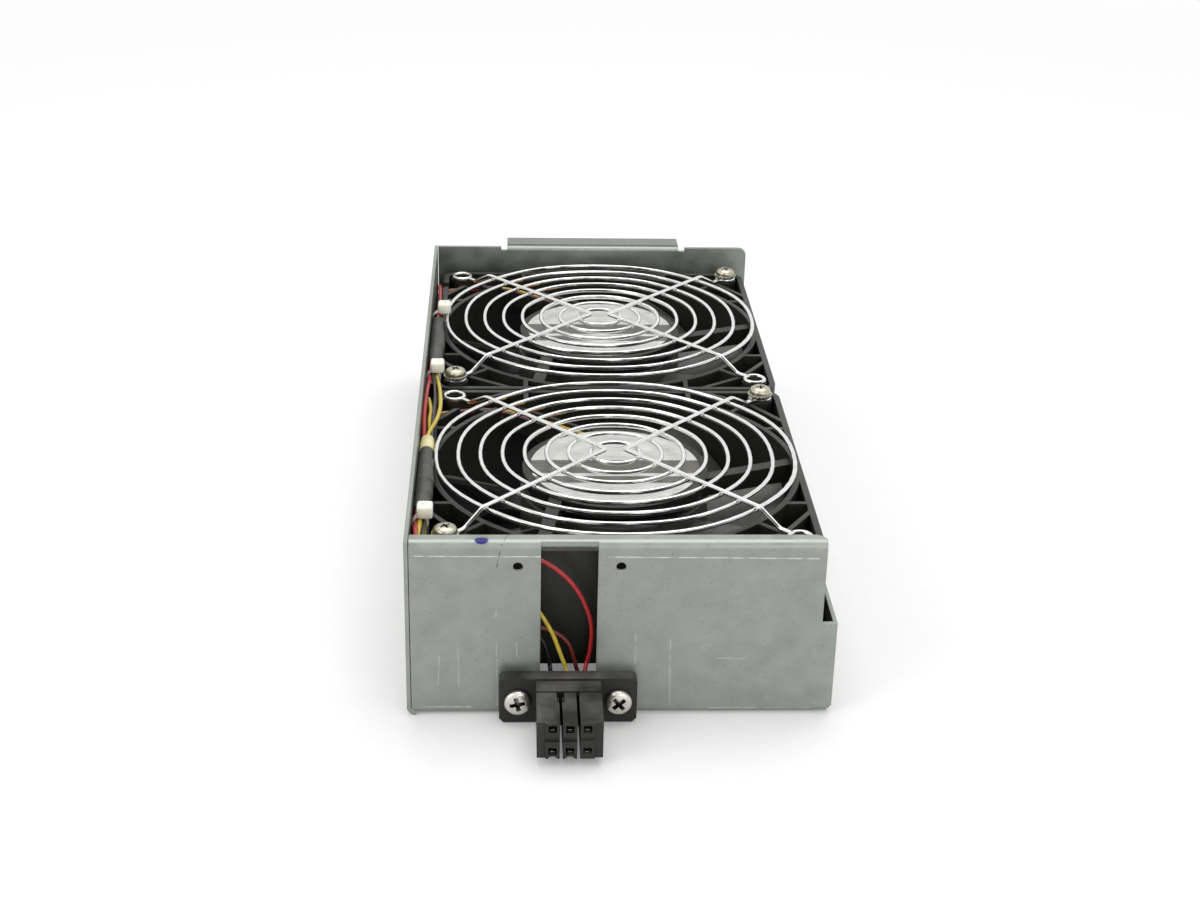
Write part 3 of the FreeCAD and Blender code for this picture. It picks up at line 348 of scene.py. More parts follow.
# finishes, one dictionary for each; grain is a scale per metre, edge and the reach of the painted recess shade are
# metres
plainFinish = {"metallic": 0.0, "spread": (1, 1, 1), "specular": 0.5, "soft": 0.0}  # unless it says more
insulation = {  # what the finishes of the leads share
    "rough": (0.28, 0.42), "grain": 500.0, "spread": (1, 0.2, 1), "bump": 0.05, "edge": 0.0002, "wear": 0.1,
    "dust": 0.06, "scratch": 0.05,
}
finishes = {
    "galvanised_steel": {
        "base": (0.265, 0.288, 0.262), "second": (0.325, 0.35, 0.32), "metallic": 0.85, "rough": (0.34, 0.5),
        "grain": 160.0, "spread": (1.0, 0.16, 1.0), "bump": 0.05, "edge": 0.0004,
        "wear": 0.45, "wearColour": (0.55, 0.57, 0.54), "dust": 0.1, "scratch": 0.12,
    },
    "zinc_steel": {
        "base": (0.5, 0.51, 0.52), "second": (0.62, 0.63, 0.64), "metallic": 0.95, "rough": (0.28, 0.42),
        "grain": 500.0, "spread": (1, 1, 0.3), "bump": 0.05, "edge": 0.0003, "wear": 0.4,
        "wearColour": (0.75, 0.76, 0.77), "dust": 0.1, "scratch": 0.2,
    },
    "yellow_zinc_steel": {
        "base": (0.4, 0.37, 0.27), "second": (0.55, 0.52, 0.43), "metallic": 0.92, "rough": (0.2, 0.36),
        "grain": 420.0, "bump": 0.06, "edge": 0.00025, "wear": 0.6,
        "wearColour": (0.76, 0.74, 0.68), "dust": 0.1, "scratch": 0.3, "recessShade": 0.0016,
    },
    "nickel_steel": {
        "base": (0.55, 0.53, 0.48), "second": (0.68, 0.66, 0.61), "metallic": 0.96, "rough": (0.2, 0.34),
        "grain": 600.0, "bump": 0.05, "edge": 0.00025, "wear": 0.4,
        "wearColour": (0.8, 0.79, 0.76), "dust": 0.05, "scratch": 0.3, "recessShade": 0.002,
    },
    "guard_chrome": {
        "base": (0.74, 0.745, 0.735), "second": (0.86, 0.865, 0.855), "metallic": 1.0, "rough": (0.05, 0.11),
        "grain": 300.0, "bump": 0.03, "edge": 0.0002, "wear": 0.0,
        "wearColour": (0.8, 0.8, 0.8), "dust": 0.03, "scratch": 0.15,
    },
    "fan_plastic": {
        "base": (0.013, 0.013, 0.011), "second": (0.021, 0.021, 0.018), "rough": (0.34, 0.5),
        "grain": 900.0, "bump": 0.1, "edge": 0.0003, "wear": 0.5,
        "wearColour": (0.13, 0.132, 0.125), "dust": 0.05, "scratch": 0.08, "specular": 0.4,
    },
    # painted sheen: the frames' black plastic, made lighter on the impellers for the grey sheen on their blades
    "impeller_plastic_sheen": {
        "base": (0.055, 0.056, 0.05), "second": (0.085, 0.086, 0.078), "rough": (0.3, 0.46),
        "grain": 700.0, "bump": 0.08, "edge": 0.0003, "wear": 0.35,
        "wearColour": (0.14, 0.142, 0.135), "dust": 0.12, "scratch": 0.08,
    },
    "label_foil": {
        "base": (0.7, 0.7, 0.66), "second": (0.78, 0.78, 0.75), "metallic": 0.35, "rough": (0.24, 0.36),
        "grain": 700.0, "spread": (0.15, 1, 1), "bump": 0.03, "edge": 0.0002, "wear": 0.3,
        "wearColour": (0.82, 0.82, 0.8), "dust": 0.06, "scratch": 0.2,
    },
    "board_laminate": {
        "base": (0.02, 0.11, 0.045), "second": (0.03, 0.16, 0.06), "rough": (0.3, 0.45),
        "grain": 1200.0, "bump": 0.05, "edge": 0.0002, "wear": 0.3,
        "wearColour": (0.4, 0.36, 0.2), "dust": 0.1, "scratch": 0.1,
    },
    "core_steel": {
        "base": (0.2, 0.2, 0.205), "second": (0.32, 0.32, 0.325), "metallic": 0.9, "rough": (0.4, 0.6),
        "grain": 300.0, "spread": (0.1, 0.1, 8.0), "bump": 0.2, "edge": 0.0002, "wear": 0.4,
        "wearColour": (0.5, 0.5, 0.5), "dust": 0.1, "scratch": 0.2,
    },
    "coil_copper": {
        "base": (0.36, 0.13, 0.05), "second": (0.55, 0.24, 0.1), "metallic": 0.85, "rough": (0.25, 0.4),
        "grain": 300.0, "spread": (6.0, 0.3, 0.3), "bump": 0.3, "edge": 0.0004, "wear": 0.2,
        "wearColour": (0.7, 0.4, 0.25), "dust": 0.05, "scratch": 0.05,
    },
    "bearing_steel": {
        "base": (0.52, 0.53, 0.54), "second": (0.64, 0.65, 0.66), "metallic": 1.0, "rough": (0.15, 0.28),
        "grain": 800.0, "spread": (1, 1, 6), "bump": 0.03, "edge": 0.0002, "wear": 0.3,
        "wearColour": (0.8, 0.8, 0.8), "dust": 0.02, "scratch": 0.2,
    },
    "magnet_ferrite": {
        "base": (0.03, 0.03, 0.032), "second": (0.055, 0.055, 0.058), "metallic": 0.1, "rough": (0.5, 0.68),
        "grain": 900.0, "bump": 0.15, "edge": 0.0003, "wear": 0.3,
        "wearColour": (0.16, 0.16, 0.165), "dust": 0.1, "scratch": 0.1,
    },
    "connector_plastic": {
        "base": (0.011, 0.011, 0.009), "second": (0.018, 0.018, 0.015), "rough": (0.4, 0.54),
        "grain": 1100.0, "bump": 0.1, "edge": 0.0002, "wear": 0.35,
        "wearColour": (0.11, 0.11, 0.1), "dust": 0.22, "scratch": 0.15, "specular": 0.35,
    },
    "contact_metal": {
        "base": (0.72, 0.7, 0.64), "second": (0.85, 0.83, 0.77), "metallic": 1.0, "rough": (0.14, 0.26),
        "grain": 900.0, "spread": (1, 0.3, 1), "bump": 0.05, "edge": 0.0001, "wear": 0.3,
        "wearColour": (0.8, 0.78, 0.7), "dust": 0.0, "scratch": 0.2,
    },
    "sleeve_plastic": {
        "base": (0.021, 0.021, 0.018), "second": (0.045, 0.045, 0.039), "rough": (0.4, 0.58),
        "grain": 400.0, "spread": (1, 0.3, 1), "bump": 0.25, "edge": 0.0004, "wear": 0.2,
        "wearColour": (0.12, 0.12, 0.125), "dust": 0.12, "scratch": 0.1,
    },
    "cream_plastic": {
        "base": (0.79, 0.7, 0.32), "second": (0.88, 0.8, 0.42), "rough": (0.4, 0.55),
        "grain": 600.0, "bump": 0.1, "edge": 0.0003, "wear": 0.2,
        "wearColour": (0.85, 0.8, 0.68), "dust": 0.1, "scratch": 0.1, "soft": 0.25,
    },
    "white_nylon": {
        "base": (0.84, 0.84, 0.71), "second": (0.92, 0.92, 0.81), "rough": (0.18, 0.3),
        "grain": 500.0, "bump": 0.08, "edge": 0.0003, "wear": 0.2,
        "wearColour": (0.9, 0.9, 0.88), "dust": 0.03, "scratch": 0.1, "soft": 0.7,
    },
    "red_insulation": {
        **insulation, "base": (0.36, 0.012, 0.014), "second": (0.48, 0.024, 0.026),
        "wearColour": (0.7, 0.15, 0.13),
    },
    "yellow_insulation": {
        **insulation, "base": (0.5, 0.37, 0.03), "second": (0.62, 0.49, 0.06),
        "wearColour": (0.85, 0.7, 0.3),
    },
    "brown_insulation": {
        **insulation, "base": (0.13, 0.018, 0.014), "second": (0.19, 0.03, 0.022),
        "wearColour": (0.35, 0.18, 0.12),
    },
    "black_insulation": {
        **insulation, "base": (0.012, 0.012, 0.013), "second": (0.022, 0.022, 0.024), "rough": (0.12, 0.2),
        "wearColour": (0.1, 0.1, 0.1),
    },
}

# values that all finishes share
grainTones = (0.3, 0.7)  # noise at the first colour and at the second
bumpDepth = 0.0004
dustLook = {"colour": (0.42, 0.41, 0.38), "dulling": 0.4}
softLook = {"reach": 0.003, "spread": (1.0, 1.0, 0.7)}  # light inside nylon, nearly as far in each colour
# painted shade in recesses such as the screws' cross recesses: its colour, the occlusion range it fades over, how
# much, and the samples
recessShadeLook = {"colour": (0.02, 0.018, 0.014), "open": (0.35, 0.8), "amount": 0.95, "samples": 8}


def makeFinish(name, ownLook, detail=None):
    look = {**plainFinish, **ownLook}
    material = bpy.data.materials.new(name)
    material.use_nodes = True
    tree = material.node_tree
    shader = tree.nodes["Principled BSDF"]
    grain = placeGroup(tree, "fineGrain", Scale=look["grain"], Spread=look["spread"])
    colour = blendColour(tree, ranged(tree, grain["Tone"], *grainTones), look["base"], look["second"])
    if detail:
        colour = detail(tree, colour)
    # painted shade in recesses, from ambient occlusion
    if "recessShade" in look:
        colour = blendColour(tree, recessShadeMask(tree, look["recessShade"]), colour, recessShadeLook["colour"])
    scratch = placeGroup(tree, "scratchMarks", Amount=look["scratch"])["Mask"]
    wear = placeGroup(tree, "edgeWear", Radius=look["edge"], Amount=look["wear"])["Mask"]
    dust = placeGroup(tree, "softDust", Amount=look["dust"])["Mask"]
    for mask, over in ((scratch, look["wearColour"]), (wear, look["wearColour"]), (dust, dustLook["colour"])):
        colour = blendColour(tree, mask, colour, over)
    tree.links.new(colour, shader.inputs["Base Color"])
    rough = ranged(tree, grain["Tone"], *grainTones, *look["rough"])
    dulled = calc(tree, "ADD", rough, product(tree, dust, dustLook["dulling"]), True)
    tree.links.new(dulled, shader.inputs["Roughness"])
    plainValues = {
        "Metallic": look["metallic"], "Specular IOR Level": look["specular"],
        "Subsurface Weight": look["soft"], "Subsurface Scale": softLook["reach"],
        "Subsurface Radius": softLook["spread"],
    }
    for label, value in plainValues.items():
        shader.inputs[label].default_value = value
    radius, rounded = roundedNormal(tree)
    radius.default_value = look["edge"]
    bump = tree.nodes.new("ShaderNodeBump")
    bump.inputs["Strength"].default_value = look["bump"]
    bump.inputs["Distance"].default_value = bumpDepth
    tree.links.new(grain["Height"], bump.inputs["Height"])
    tree.links.new(rounded, bump.inputs["Normal"])
    tree.links.new(bump.outputs[0], shader.inputs["Normal"])
    return material


def recessShadeMask(tree, reach):
    # painted shade where little of the open sky is seen, as in a cross recess
    node = tree.nodes.new("ShaderNodeAmbientOcclusion")
    node.samples = recessShadeLook["samples"]
    node.inputs["Distance"].default_value = reach
    return ranged(tree, node.outputs["AO"], *recessShadeLook["open"], recessShadeLook["amount"], 0.0)


# marks of use on the sheet steel, and painted shade on its lip, mm of the row frame
trayMarksAndShade = {
    "ink": {"colour": (0.022, 0.026, 0.12), "centre": (-41.5, -129.8, 57.0), "size": (2.2, 1.7, 1.2)},
    "smudge": {
        "colour": (0.22, 0.235, 0.215), "scale": 55.0, "detail": 5.0, "range": (0.55, 0.8), "amount": 0.5,
    },
    # dark: for the specks and the hairline, and for the painted shade in the lip's fold
    "dark": (0.045, 0.048, 0.044),
    "bright": (0.8, 0.81, 0.79),
    "frontFace": -131.5,
    "pressed": {  # by the bending tool: x and z of both ends
        "half": 0.2, "amount": 0.75,
        "lines": [(-60.7, 52.7, -35.1, 52.5), (-35.1, 52.5, -24.8, 52.5), (-5.3, 52.4, 28.4, 52.1),
                  (28.4, 52.1, 55.0, 51.8), (-58.7, 2.6, -44.9, 2.6), (25.2, 1.9, 56.0, 1.7)],
    },
    "scratched": {
        "half": 0.3, "amount": 0.2,
        "lines": [(-54.3, 10.5, -53.9, 20.1), (-48.5, 24.6, -48.3, 8.8), (-37.3, 23.8, -37.3, 20.1),
                  (-37.1, 18.8, -37.1, 1.5), (-31.6, 24.2, -31.3, 19.6), (-37.4, 36.1, -37.4, 32.7),
                  (13.2, 25.2, 13.8, 3.0), (3.1, 26.9, 3.2, 17.2), (27.2, 19.0, 35.2, 18.7)],
    },
    "lipShade": {  # painted shade: the lip darker than the walls, and a dark painted shade line between both places of its fold
        "colour": (0.2, 0.212, 0.196), "amount": 0.8, "foldShade": (127.2, 129.2), "blur": (0.3, 0.4),
    },
    "hairline": {
        "half": 0.22, "amount": 0.8,
        "points": [(-33.7, -125.8, 57.0), (-35.5, -130.8, 56.9), (-36.4, -131.5, 53.4),
                   (-37.2, -131.5, 49.2)],
    },
}


def metres(lengths):
    return tuple(length * mm for length in lengths)


def trayDetail(tree, colour):
    smudge, ink, lipShade, hairline = (trayMarksAndShade[k] for k in ("smudge", "ink", "lipShade", "hairline"))
    dark = trayMarksAndShade["dark"]
    cloud = noiseField(tree, objectPoint(tree), smudge["scale"], smudge["detail"])
    greyed = ranged(tree, cloud, *smudge["range"], 0.0, smudge["amount"])
    colour = blendColour(tree, greyed, colour, smudge["colour"])
    colour = blendColour(tree, placeGroup(tree, "darkSpecks")["Mask"], colour, dark)
    blot = placeGroup(tree, "spotMask", Centre=metres(ink["centre"]), Size=metres(ink["size"]))["Mask"]
    colour = blendColour(tree, blot, colour, ink["colour"])
    y = trayMarksAndShade["frontFace"]
    for marks in (trayMarksAndShade["pressed"], trayMarksAndShade["scratched"]):
        for x0, z0, x1, z1 in marks["lines"]:
            line = lineBetween(tree, (x0, y, z0), (x1, y, z1), marks)
            colour = blendColour(tree, line, colour, trayMarksAndShade["bright"])
    # painted shade on the lip beyond the rear wall, darkest in its fold
    depth = axes(tree, objectPoint(tree))[1]
    (near, far), (nearBlur, farBlur) = metres(lipShade["foldShade"]), metres(lipShade["blur"])
    lipShadeMask = ranged(tree, depth, near - nearBlur, near, 0.0, lipShade["amount"])
    colour = blendColour(tree, lipShadeMask, colour, lipShade["colour"])
    foldShade = product(tree, lipShadeMask, ranged(tree, depth, far - farBlur, far, 1.0, 0.0))
    colour = blendColour(tree, foldShade, colour, dark)
    for start, end in zip(hairline["points"], hairline["points"][1:]):
        colour = blendColour(tree, lineBetween(tree, start, end, hairline), colour, dark)
    return colour


def lineBetween(tree, start, end, marks):
    ends = {"From": metres(start), "To": metres(end)}
    return placeGroup(tree, "lineMask", Half=marks["half"] * mm, Amount=marks["amount"], **ends)["Mask"]


# painted reflection: grey bands across the labels, mm from each motor's axis
labelReflectionBands = {"bands": ((-5.5, 4.0), (-12.5, -7.8)), "blur": 0.2, "grey": (0.13, 0.127, 0.105)}


def labelReflectionDetail(tree, colour):
    depth = axes(tree, objectPoint(tree))[1]
    blur = labelReflectionBands["blur"] * mm
    # painted reflection, one grey band for each range across each label
    for axis in fanAxes.values():
        for low, high in labelReflectionBands["bands"]:
            near, far = metres((axis + low, axis + high))
            past = ranged(tree, depth, near - blur, near)
            before = ranged(tree, depth, far, far + blur, 1.0, 0.0)
            colour = blendColour(tree, product(tree, past, before), colour, labelReflectionBands["grey"])
    return colour


# painted reflection: the dark side of the room, painted into the colour along the front and rear of each ring
chromePaintedReflection = {
    "towards": (0.0, -0.906, 0.423), "facing": (0.76, 0.9), "colour": (0.03, 0.03, 0.028), "amount": 0.95,
    "scale": 70.0, "detail": 3.0, "gaps": (0.36, 0.54), "faintest": 0.25,
}


def chromeReflectionDetail(tree, colour):
    # painted reflection, darker where the surface faces the fixed direction towards the room's front
    facing = vectorCalc(tree, "DOT_PRODUCT", surfaceNormal(tree), chromePaintedReflection["towards"])
    core = ranged(tree, facing, *chromePaintedReflection["facing"], 0.0, chromePaintedReflection["amount"])
    cloud = noiseField(tree, objectPoint(tree), chromePaintedReflection["scale"], chromePaintedReflection["detail"])
    broken = ranged(tree, cloud, *chromePaintedReflection["gaps"], chromePaintedReflection["faintest"], 1.0)
    return blendColour(tree, product(tree, core, broken), colour, chromePaintedReflection["colour"])


details = {"galvanised_steel": trayDetail, "label_foil": labelReflectionDetail, "guard_chrome": chromeReflectionDetail}
materials = {slot: makeFinish(slot, look, details.get(slot)) for slot, look in finishes.items()}
# the impellers take the lighter copy with the painted sheen
ownFinish = {"front_impeller": "impeller_plastic_sheen", "rear_impeller": "impeller_plastic_sheen"}
for part in frame["record"]["subparts"]:
    node = frame["nodes"][part["node"]]
    node.data.materials.clear()
    node.data.materials.append(materials[ownFinish.get(part["node"], part["material_slot"])])
print("finishes made and assigned:", len(materials))


# shaping helpers, sizes in mm
def newPiece(name, shape, smooth, slot, body, *nodes):
    mesh = bpy.data.meshes.new(name)
    bmesh.ops.recalc_face_normals(shape, faces=shape.faces)
    shape.to_mesh(mesh)
    shape.free()
    finishPiece(name, mesh, smooth, slot, body, *nodes)


def finishPiece(name, mesh, smooth, slot, body, *nodes):
    # smooth: degrees between faces, above which an edge stays sharp
    for face in mesh.polygons:
        face.use_smooth = True
    mesh.set_sharp_from_angle(angle=math.radians(smooth))
    mesh.materials.append(materials[slot])
    piece = bpy.data.objects.new(name, mesh)
    scene.collection.objects.link(piece)
    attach(piece, body)
    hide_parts(*nodes)


def evaluatedMesh(item):
    bpy.context.view_layer.update()
    return bpy.data.meshes.new_from_object(item.evaluated_get(bpy.context.evaluated_depsgraph_get()))


def turnsOf(count):
    return [2 * math.pi * k / count for k in range(count)]


def onCircle(radius, turn):
    return radius * math.cos(turn), radius * math.sin(turn)


def squareCorners(half):
    return [(-half, -half), (half, -half), (half, half), (-half, half)]


def bridgeRings(shape, rings, closed=False):
    # faces between neighbouring rings, triangles where a ring is one point
    for low, high in zip(rings, rings[1:] + rings[:closed]):
        for k in range(max(len(low), len(high))):
            corners = [low[k % len(low)], low[(k + 1) % len(low)]]
            corners += [high[(k + 1) % len(high)], high[k % len(high)]]
            shape.faces.new(list(dict.fromkeys(corners)))


def lathe(profile, segments, closed=False):
    # profile of (radius, height) around Z, with one point where the radius is 0
    shape = bmesh.new()
    rings = []
    for radius, height in profile:
        turns = turnsOf(segments) if radius else [0]
        rings.append([shape.verts.new(Vector((*onCircle(radius, turn), height)) * mm) for turn in turns])
    bridgeRings(shape, rings, closed)
    return shape


def addBox(shape, low, high):
    middle = (Vector(low) + Vector(high)) / 2 * mm
    size = (Vector(high) - Vector(low)) * mm
    place = Matrix.Translation(middle) @ Matrix.Diagonal((*size, 1))
    return bmesh.ops.create_cube(shape, size=1.0, matrix=place)["verts"]


wireShape = {"around": 3, "along": 8, "order": 3, "ringPoints": 8, "smooth": 60}  # counts, and degrees


def wireCurve(radius):
    curve = bpy.data.curves.new("wirePath", "CURVE")
    curve.dimensions = "3D"
    curve.bevel_depth = radius * mm
    curve.bevel_resolution = wireShape["around"]
    curve.use_fill_caps = True
    curve.resolution_u = wireShape["along"]
    return curve


def wirePiece(name, curve, slot, body, *nodes):
    # the drawn wire as a mesh
    path = bpy.data.objects.new("wirePath", curve)
    scene.collection.objects.link(path)
    mesh = evaluatedMesh(path)
    bpy.data.objects.remove(path)
    bpy.data.curves.remove(curve)
    mesh.name = name
    mesh.materials.clear()
    finishPiece(name, mesh, wireShape["smooth"], slot, body, *nodes)


def addRoute(curve, points):
    # smooth line with the points of the route as its control points
    spline = curve.splines.new("NURBS")
    spline.points.add(len(points) - 1)
    for controlPoint, place in zip(spline.points, points):
        controlPoint.co = (*(Vector(place) * mm), 1)
    spline.order_u = wireShape["order"]
    spline.use_endpoint_u = True


def addRing(curve, radius, centre):
    spline = curve.splines.new("BEZIER")
    spline.bezier_points.add(wireShape["ringPoints"] - 1)
    for point, turn in zip(spline.bezier_points, turnsOf(wireShape["ringPoints"])):
        point.co = (Vector(centre) + Vector((*onCircle(radius, turn), 0))) * mm
        point.handle_left_type = point.handle_right_type = "AUTO"
    spline.use_cyclic_u = True


# chrome finger guards
guard = {
    "wire": 0.75, "outerRing": 56.8, "ringGap": 7.0, "rings": 8, "ringLevel": 51.95,
    "eyeletRadius": 3.3, "eyeletLevel": 48.95,
    "spoke": [  # from one eyelet to the middle of the V
        (50.07, 50.07, 48.95), (48.4, 48.4, 48.95), (46.95, 46.95, 48.95), (45.6, 45.6, 50.05),
        (42.8, 42.8, 52.2), (41.44, 41.44, 53.3), (39.6, 39.5, 53.3), (36.0, 35.6, 53.3),
        (12.0, 9.7, 53.3), (5.72, 2.93, 53.3), (3.7, 0.9, 53.3), (3.2, 0.0, 53.3),
    ],
}


def addGuards(look):
    for name, y in fanAxes.items():
        wires = wireCurve(look["wire"])
        for k in range(look["rings"]):
            addRing(wires, look["outerRing"] - k * look["ringGap"], (0, y, look["ringLevel"]))
        for side in (-1, 1):
            for end in (-1, 1):
                corner = (side * holeOffset, y + end * holeOffset, look["eyeletLevel"])
                addRing(wires, look["eyeletRadius"], corner)
            half = [(side * px, y + py, pz) for px, py, pz in look["spoke"]]
            other = [(side * px, y - py, pz) for px, py, pz in reversed(look["spoke"][:-1])]
            addRoute(wires, half + other)
        wirePiece(name + "GuardWires", wires, "guard_chrome", "tray", name + "_finger_guard")


addGuards(guard)
print("finger guards bent")


# leads: name, finish and route, which follows its solid with points moved to where the photograph shows them
leadRadius = 0.65
leads = {
    "rear_fan_red_wire": ("rearRedLead", "red_insulation", [
        (-5.76, 84.94, 43.2), (-5.76, 84.94, 45.2), (-7.32, 86.19, 45.2), (-32.38, 106.34, 45.2),
        (-39.43, 108.12, 45.2), (-55.24, 105.24, 45.3), (-60.95, 104.2, 46.4), (-60.95, 102.0, 47.8),
        (-60.7, 95.0, 51.6), (-60.1, 86.0, 52.3), (-59.88, 74.0, 52.15), (-59.88, 60.0, 52.15),
        (-61.03, 14.0, 51.48), (-61.03, 2.0, 51.48), (-61.2, -10.0, 53.6), (-61.4, -20.0, 54.0),
        (-61.6, -32.0, 53.2), (-61.3, -42.0, 52.0), (-61.03, -48.0, 51.48), (-61.03, -54.0, 51.48),
        (-61.03, -102.0, 51.48), (-61.03, -110.0, 51.48), (-60.88, -117.0, 54.12), (-60.2, -126.2, 54.6),
        (-30.0, -126.2, 52.0), (-16.0, -126.2, 43.3), (-9.3, -126.2, 29.5), (-9.6, -126.2, 18.5),
        (-11.45, -126.2, 12.1), (-11.45, -131.5, 12.1)]),
    "rear_fan_yellow_wire": ("rearYellowLead", "yellow_insulation", [
        (-4.82, 86.11, 43.2), (-4.82, 86.11, 45.2), (-6.38, 87.36, 45.2), (-31.97, 107.93, 45.2),
        (-39.02, 109.72, 45.2), (-53.57, 107.05, 45.2), (-60.95, 105.7, 45.2), (-60.95, 104.6, 43.4),
        (-60.95, 98.0, 43.3), (-60.95, 84.0, 45.3), (-60.95, 75.0, 47.2), (-60.4, 69.0, 48.9),
        (-58.9, 63.5, 50.0), (-58.73, 58.0, 50.16), (-58.73, 14.0, 51.48), (-58.73, 3.0, 51.48),
        (-58.2, -1.0, 51.9), (-57.6, -7.0, 53.0), (-56.6, -19.0, 54.0), (-56.3, -30.0, 54.0),
        (-57.4, -39.0, 53.4), (-59.5, -45.0, 52.5), (-59.88, -49.0, 52.15), (-59.88, -54.0, 52.15),
        (-59.88, -102.0, 52.15), (-59.88, -110.0, 52.15), (-60.2, -127.6, 53.0), (-48.0, -127.6, 45.0),
        (-29.0, -127.6, 38.5), (-21.5, -127.6, 27.0), (-18.2, -127.6, 17.0), (-16.4, -127.6, 12.1),
        (-16.4, -131.5, 12.1)]),
    "rear_fan_black_wire": ("rearBlackLead", "black_insulation", [
        (-6.69, 83.77, 43.2), (-6.69, 83.77, 45.2), (-8.25, 85.02, 45.2), (-32.78, 104.74, 45.2),
        (-36.5, 105.8, 46.0), (-41.0, 106.3, 46.8), (-52.0, 104.3, 46.8), (-57.5, 103.3, 45.6),
        (-60.95, 102.7, 45.0), (-60.95, 100.0, 45.2),
        (-60.95, 84.0, 46.9), (-60.95, 75.0, 48.8), (-60.2, 69.0, 50.2), (-58.73, 63.0, 51.4),
        (-58.73, 58.0, 51.48), (-59.88, 14.0, 52.15), (-59.88, 2.0, 52.15), (-59.0, -6.0, 52.2),
        (-58.5, -20.0, 52.2), (-58.6, -35.0, 52.0), (-58.7, -45.0, 51.55), (-58.73, -52.0, 51.48),
        (-58.73, -102.0, 51.48), (-58.73, -110.0, 51.48), (-58.6, -126.2, 52.8), (-52.0, -126.2, 35.0),
        (-29.0, -126.2, 30.0), (-23.2, -126.2, 21.0), (-22.0, -126.2, 16.0), (-21.35, -126.2, 12.1),
        (-21.35, -131.5, 12.1)]),
    "front_fan_brown_wire": ("frontBrownLead", "brown_insulation", [
        (-6.69, -36.63, 43.2), (-6.69, -36.63, 45.2), (-8.25, -35.38, 45.2), (-32.78, -15.66, 45.2),
        (-36.5, -14.6, 46.0), (-41.0, -14.1, 46.8), (-52.0, -16.1, 46.8), (-57.5, -17.1, 45.6),
        (-60.95, -17.7, 45.2), (-60.95, -18.6, 48.6), (-61.2, -28.0, 49.5), (-61.2, -36.0, 50.0),
        (-61.03, -44.0, 50.16), (-61.03, -52.0, 50.16), (-61.03, -102.0, 50.16),
        (-61.03, -110.0, 50.16), (-61.0, -124.7, 51.5), (-55.0, -124.7, 32.0), (-30.0, -124.7, 27.0),
        (-16.5, -124.7, 23.0), (-13.6, -124.7, 11.0), (-11.45, -124.7, 4.8), (-11.45, -131.5, 4.8)]),
    "front_fan_yellow_wire": ("frontYellowLead", "yellow_insulation", [
        (-4.82, -34.29, 43.2), (-4.82, -34.29, 45.2), (-6.38, -33.04, 45.2), (-31.97, -12.47, 45.2),
        (-39.02, -10.68, 45.2), (-53.57, -13.35, 45.2), (-60.95, -14.7, 45.2), (-60.95, -14.7, 51.6),
        (-60.3, -20.0, 52.0), (-59.5, -27.5, 52.0), (-60.0, -35.0, 51.6), (-59.2, -43.0, 50.6),
        (-58.73, -49.0, 50.16), (-58.73, -54.0, 50.16), (-58.73, -102.0, 50.16), (-58.73, -110.0, 50.16),
        (-58.0, -123.2, 51.5), (-57.24, -123.2, 22.2), (-57.0, -123.2, 13.0), (-50.0, -123.2, 7.0),
        (-40.8, -123.2, 7.0), (-31.1, -123.2, 7.0), (-26.0, -123.2, 7.0), (-21.35, -123.2, 4.8),
        (-21.35, -131.5, 4.8)]),
    "front_fan_red_wire": ("frontRedLead", "red_insulation", [
        (-5.76, -35.46, 43.2), (-5.76, -35.46, 45.2), (-7.32, -34.21, 45.2), (-32.38, -14.06, 45.2),
        (-39.43, -12.28, 45.2), (-55.24, -15.16, 45.2), (-60.95, -16.2, 45.2), (-60.95, -16.2, 50.3),
        (-60.6, -20.0, 50.6), (-59.8, -28.0, 50.2), (-59.7, -36.0, 49.8), (-59.88, -44.0, 49.49),
        (-59.88, -52.0, 49.49), (-59.88, -102.0, 49.49),
        (-59.88, -110.0, 49.49), (-59.5, -123.2, 51.5), (-59.5, -123.2, 19.55), (-59.5, -123.2, 10.0),
        (-53.0, -123.2, 3.0), (-43.45, -123.2, 3.0), (-25.9, -123.2, 3.0), (-21.0, -123.2, 3.0),
        (-16.4, -123.2, 4.8), (-16.4, -131.5, 4.8)]),
}

for node, (name, slot, route) in leads.items():
    wire = wireCurve(leadRadius)
    addRoute(wire, route)
    wirePiece(name, wire, slot, "tray", node)
print("leads laid:", len(leads))


def atBundle(across, y, up):
    return Vector((bundle["x"] + across, y, bundle["z"] + up)) * mm


# shrunk tubing; steps are its radius at places from its front end to its rear end
sleeves = {
    "rear_wire_sleeve": {
        "name": "rearSleeve", "y": 36.5, "seed": 3.0,
        "steps": [(-21.0, 2.42), (-19.3, 2.45), (-18.9, 2.62), (-8.9, 2.66), (-8.4, 2.82), (2.0, 2.78),
                  (8.2, 2.62), (8.7, 2.44), (21.0, 2.28)],
    },
    "front_wire_sleeve": {
        "name": "frontSleeve", "y": -78.9, "seed": 8.0,
        "steps": [(-21.0, 2.6), (-12.8, 2.66), (-12.3, 2.84), (-4.0, 2.74), (-3.5, 2.9), (7.6, 2.62),
                  (8.1, 2.72), (12.8, 2.66), (13.3, 2.42), (21.0, 2.26)],
    },
}
sleeveShape = {
    "inner": 2.02, "leastWall": 0.05, "fit": 2.42, "length": 42.0,
    "stations": 84, "segments": 28, "smooth": 50,
    "dent": 0.08, "dentAround": 0.8, "dentAlong": 0.12,  # hollows between the leads
    "pinch": 0.1, "pinchLength": 0.6,  # at both ends
}


